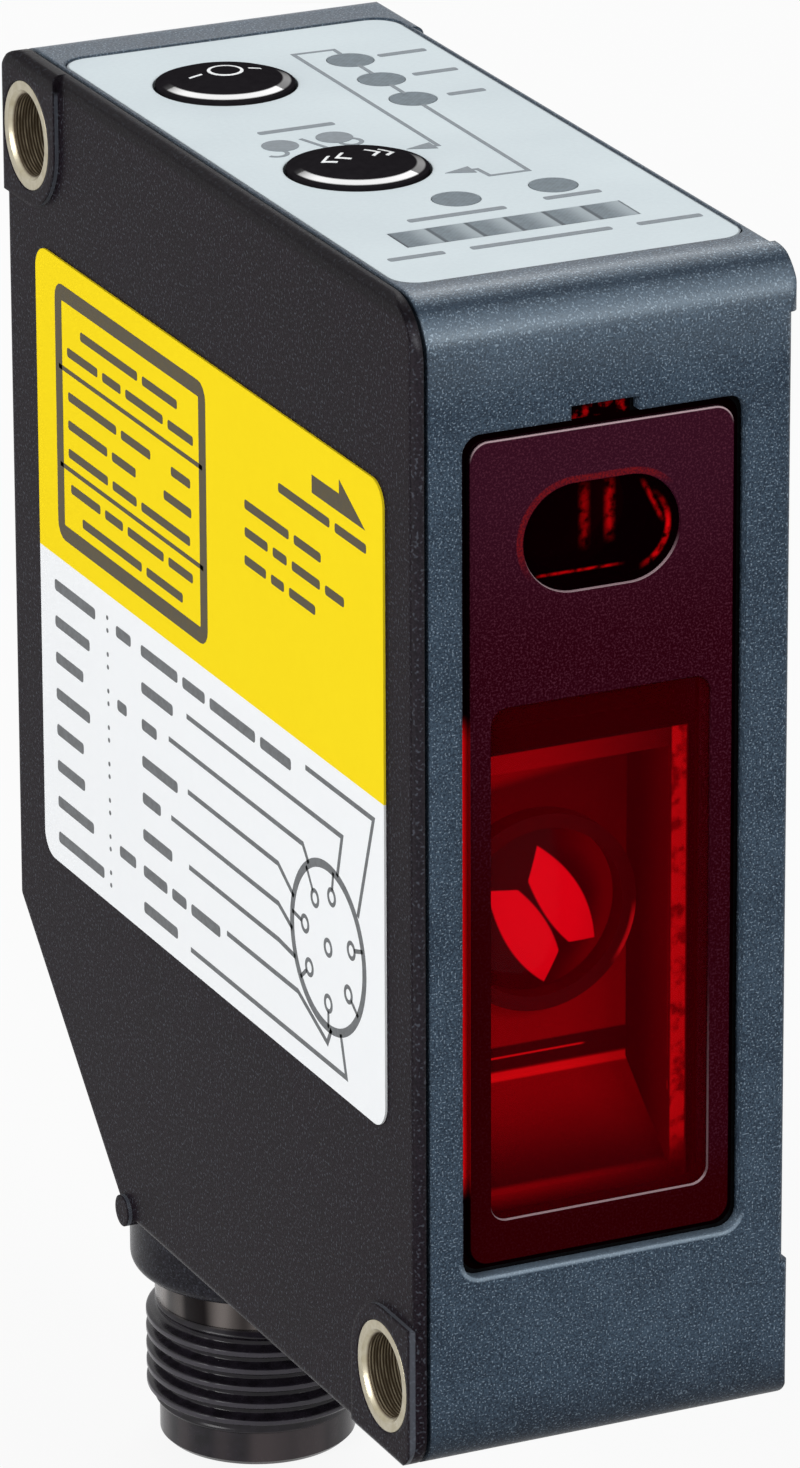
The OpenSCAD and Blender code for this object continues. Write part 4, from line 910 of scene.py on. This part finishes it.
topPrint = dict(
    line=0.24, routes=[[(14.7, 40.2), (14.7, 41.0), (12.45, 41.1), (12.4, 23.5), (11.5, 23.55)],
    [(14.7, 38.0), (14.7, 36.2)], [(14.7, 34.1), (14.7, 32.3)],
    [(14.7, 30.2), (14.65, 17.75), (12.55, 17.8), (12.45, 19.05), (11.5, 19.1)]],
    arrows=[(10.7, 23.6), (10.7, 19.1)], arrow=(1.5, 0.55), bar=0.5,
    bars=[(19.0, 16.3, 39.0), (19.0, 16.5, 35.2), (18.7, 16.6, 31.25), (9.3, 5.1, 29.2), (16.4, 13.3, 13.2),
    (11.0, 5.7, 12.75), (19.1, 15.6, 7.5), (14.2, 6.6, 7.5), (5.2, 2.2, 7.5)],
    locks=[((5.25, 26.85), (4.55, 25.75), (-150, 60)), ((8.3, 27.0), (8.75, 26.0), (-240, 60))], lockR=0.95,
    lockPoints=32, shackleR=0.55, slash=[(7.35, 25.2), (6.65, 27.5)])


# panel: routes with arrowheads, bars, and two discs with hooks on either side of a slash
def topShapes(layout):
    shapes = [stroke(path, layout["line"], inkLift) for path in layout["routes"] + [layout["slash"]]]
    length, half = layout["arrow"]
    for x, y in layout["arrows"]:
        shapes.append(plate([(x, y), (x + length, y - half), (x + length, y + half)], plateLift))
    for start, end, level in layout["bars"]:
        shapes += barRow(start, end, level, layout["bar"], 1)
    for body, shackle, (start, end) in layout["locks"]:
        shapes.append(plate(circlePath(body, layout["lockR"], layout["lockPoints"]), plateLift))
        shapes.append(stroke(arcPath(shackle, layout["shackleR"], start, end), layout["line"], inkLift))
    return [onPanel(shape) for shape in shapes]


addPiece("panel_print", topShapes(topPrint), finish("panelInk", printedInk, panelInk),
         "sensor_body")

beadSizes = dict(offset=0.045, width=0.09, lift=(-0.3, -0.02), corner=1.54)


# pale bead round the panel, laid in the shaded gap as painted light: the panel's outline grown by half the
# bead, as a closed stroke in the gap
def beadShapes(sizes):
    left, right = [(x - leftX) / mm for x in (panelLow.x, panelHigh.x)]
    near, far = [(y - frontY) / mm for y in (panelLow.y, panelHigh.y)]
    grow = sizes["offset"]
    outline = roundedBox(left - grow, near - grow, right + grow, far + grow, sizes["corner"])
    return [onPanel(stroke(outline, sizes["width"], sizes["lift"], True))]


# the bead's pale colour is painted light over the gap's shade
addPiece("panel_bead", beadShapes(beadSizes), finish("beadLightFill", printedInk, beadLightTone),
         "sensor_body")

keyMarks = dict(dome=10.0, line=0.17, ringR=0.85, bar=(1.3, 2.0), tips=(1.9, 1.15), legs=0.55, points=6)


# marks on a domed key: numbers are across and back from its axis, and the height falls as a sphere's does
def onKey(shape, node):
    grid, closed = shape
    low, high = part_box(node)
    middle = (low + high) / 2
    rise = np.sqrt(keyMarks["dome"] ** 2 - grid[..., 0] ** 2 - grid[..., 1] ** 2) - keyMarks["dome"]
    points = np.stack([middle.x + grid[..., 0] * mm, middle.y + grid[..., 1] * mm,
                       high.z + (rise + grid[..., 2]) * mm], axis=-1)
    return gridSolid(points, closed)


# a ring between two short bars
def setMark(layout):
    shapes = [stroke(circlePath((0, 0), layout["ringR"]), layout["line"], inkLift, True)]
    near, far = layout["bar"]
    for side in (-1, 1):
        path = np.linspace((side * near, 0), (side * far, 0), layout["points"])
        shapes.append(stroke(path, layout["line"], inkLift))
    return [onKey(shape, "set_key") for shape in shapes]


# two pairs of chevrons that point outwards
def selectMark(layout):
    shapes = []
    legs = layout["legs"]
    for side in (-1, 1):
        for tip in layout["tips"]:
            path = np.concatenate([np.linspace((tip - legs, -legs), (tip, 0), layout["points"]),
                                   np.linspace((tip, 0), (tip - legs, legs), layout["points"])[1:]])
            shapes.append(stroke(path * (side, 1), layout["line"], inkLift))
    return [onKey(shape, "select_key") for shape in shapes]


whiteFinish = finish("whiteInk", printedInk, whiteInk)
addPiece("set_key_mark", setMark(keyMarks), whiteFinish, "set_key")
addPiece("select_key_mark", selectMark(keyMarks), whiteFinish, "select_key")
print("print laid on label, panel and keys")

# camera at the photograph's place, in millimetres from the corner of the left, front and top faces
viewpoint = dict(
    eye=(-187.65, -401.44, 144.32), azimuth=24.963, elevation=20.52, roll=-0.232, lens=240.6, sensor=36.0,
    clip=(0.01, 20))


def addCamera(look):
    turn, rise, roll = np.radians([look["azimuth"], look["elevation"], look["roll"]])
    right = np.array([np.cos(turn), -np.sin(turn), 0])
    ahead = np.array([np.sin(turn) * np.cos(rise), np.cos(turn) * np.cos(rise), -np.sin(rise)])
    up = np.cross(right, ahead)
    sideways = np.cos(roll) * right + np.sin(roll) * up
    upright = np.cos(roll) * up - np.sin(roll) * right
    lens = bpy.data.cameras.new("camera")
    lens.lens, lens.sensor_width = look["lens"], look["sensor"]
    lens.clip_start, lens.clip_end = look["clip"]
    camera = bpy.data.objects.new("camera", lens)
    axes = np.column_stack([sideways, upright, -ahead])
    eye = Vector((leftX, frontY, topZ)) + Vector(look["eye"]) * mm
    camera.matrix_world = Matrix.Translation(eye) @ Matrix(axes.tolist()).to_4x4()
    bpy.context.scene.collection.objects.link(camera)
    bpy.context.scene.camera = camera


addCamera(viewpoint)

# soft boxes: place and size in metres, and power
studio = dict(
    front=((0.3, -0.85, 0.5), (0.3, 0.3), 4.2), rear=((0.227, 0.51, 0.578), (0.5, 0.36), 2.6),
    left=((-0.8, -0.25, 0.35), (0.35, 0.5), 4.6))
room = dict(
    ambient=0.4, background=1.0, aim=(0.0, 0.02, 0.025), floorSize=3.0, floorWhite=0.62, floorRough=0.9,
    floorGlow=0.9)


def addSoftBoxes(boxes, aim):
    for name, (place, size, power) in boxes.items():
        lamp = bpy.data.lights.new(name, "AREA")
        lamp.shape = "RECTANGLE"
        lamp.size, lamp.size_y = size
        lamp.energy = power
        holder = bpy.data.objects.new(name, lamp)
        holder.location = place
        holder.rotation_euler = (Vector(aim) - Vector(place)).to_track_quat("-Z", "Y").to_euler()
        bpy.context.scene.collection.objects.link(holder)


# 1 on rays that should see the white backdrop: straight from the camera, in gloss and through glass
def backdropRays(root):
    path = root.node("ShaderNodeLightPath", None, None, "Is Camera Ray")
    return path.most(path.other("Is Glossy Ray")).most(path.other("Is Transmission Ray"))


def addBackdrop(look):
    world = bpy.data.worlds.new("studio")
    world.use_nodes = True
    world.node_tree.nodes.clear()
    root = Value(world.node_tree)
    strength = backdropRays(root) * (look["background"] - look["ambient"]) + look["ambient"]
    sky = root.node("ShaderNodeBackground", None, {"Color": white, "Strength": strength})
    sky.node("ShaderNodeOutputWorld", None, {"Surface": sky})
    bpy.context.scene.world = world


# pale paper that takes the shadow, mostly backdrop white to the rays that see the backdrop
def floorPaper(look):
    material, root = newFinish("floorPaper")
    pale = look["floorWhite"]
    paper = principled(root, (pale, pale, pale, 1.0), look["floorRough"], None, Specular_IOR_Level=0.0)
    glow = root.node("ShaderNodeEmission", None, {"Color": white, "Strength": look["background"]})
    share = backdropRays(root) * look["floorGlow"]
    return closeFinish(material, root.node("ShaderNodeMixShader", None, {0: share, 1: paper, 2: glow}))


def addFloor(look):
    half = look["floorSize"]
    level = cadBounds[0][2]
    corners = [(-half, -half, level), (half, -half, level), (half, half, level), (-half, half, level)]
    mesh = bpy.data.meshes.new("floor")
    mesh.from_pydata(corners, [], [(0, 1, 2, 3)])
    mesh.materials.append(floorPaper(look))
    floor = bpy.data.objects.new("floor", mesh)
    bpy.context.scene.collection.objects.link(floor)


addSoftBoxes(studio, room["aim"])
addBackdrop(room)
addFloor(room)
bpy.context.scene.view_settings.view_transform = "Standard"
print("camera, lamps and floor set")
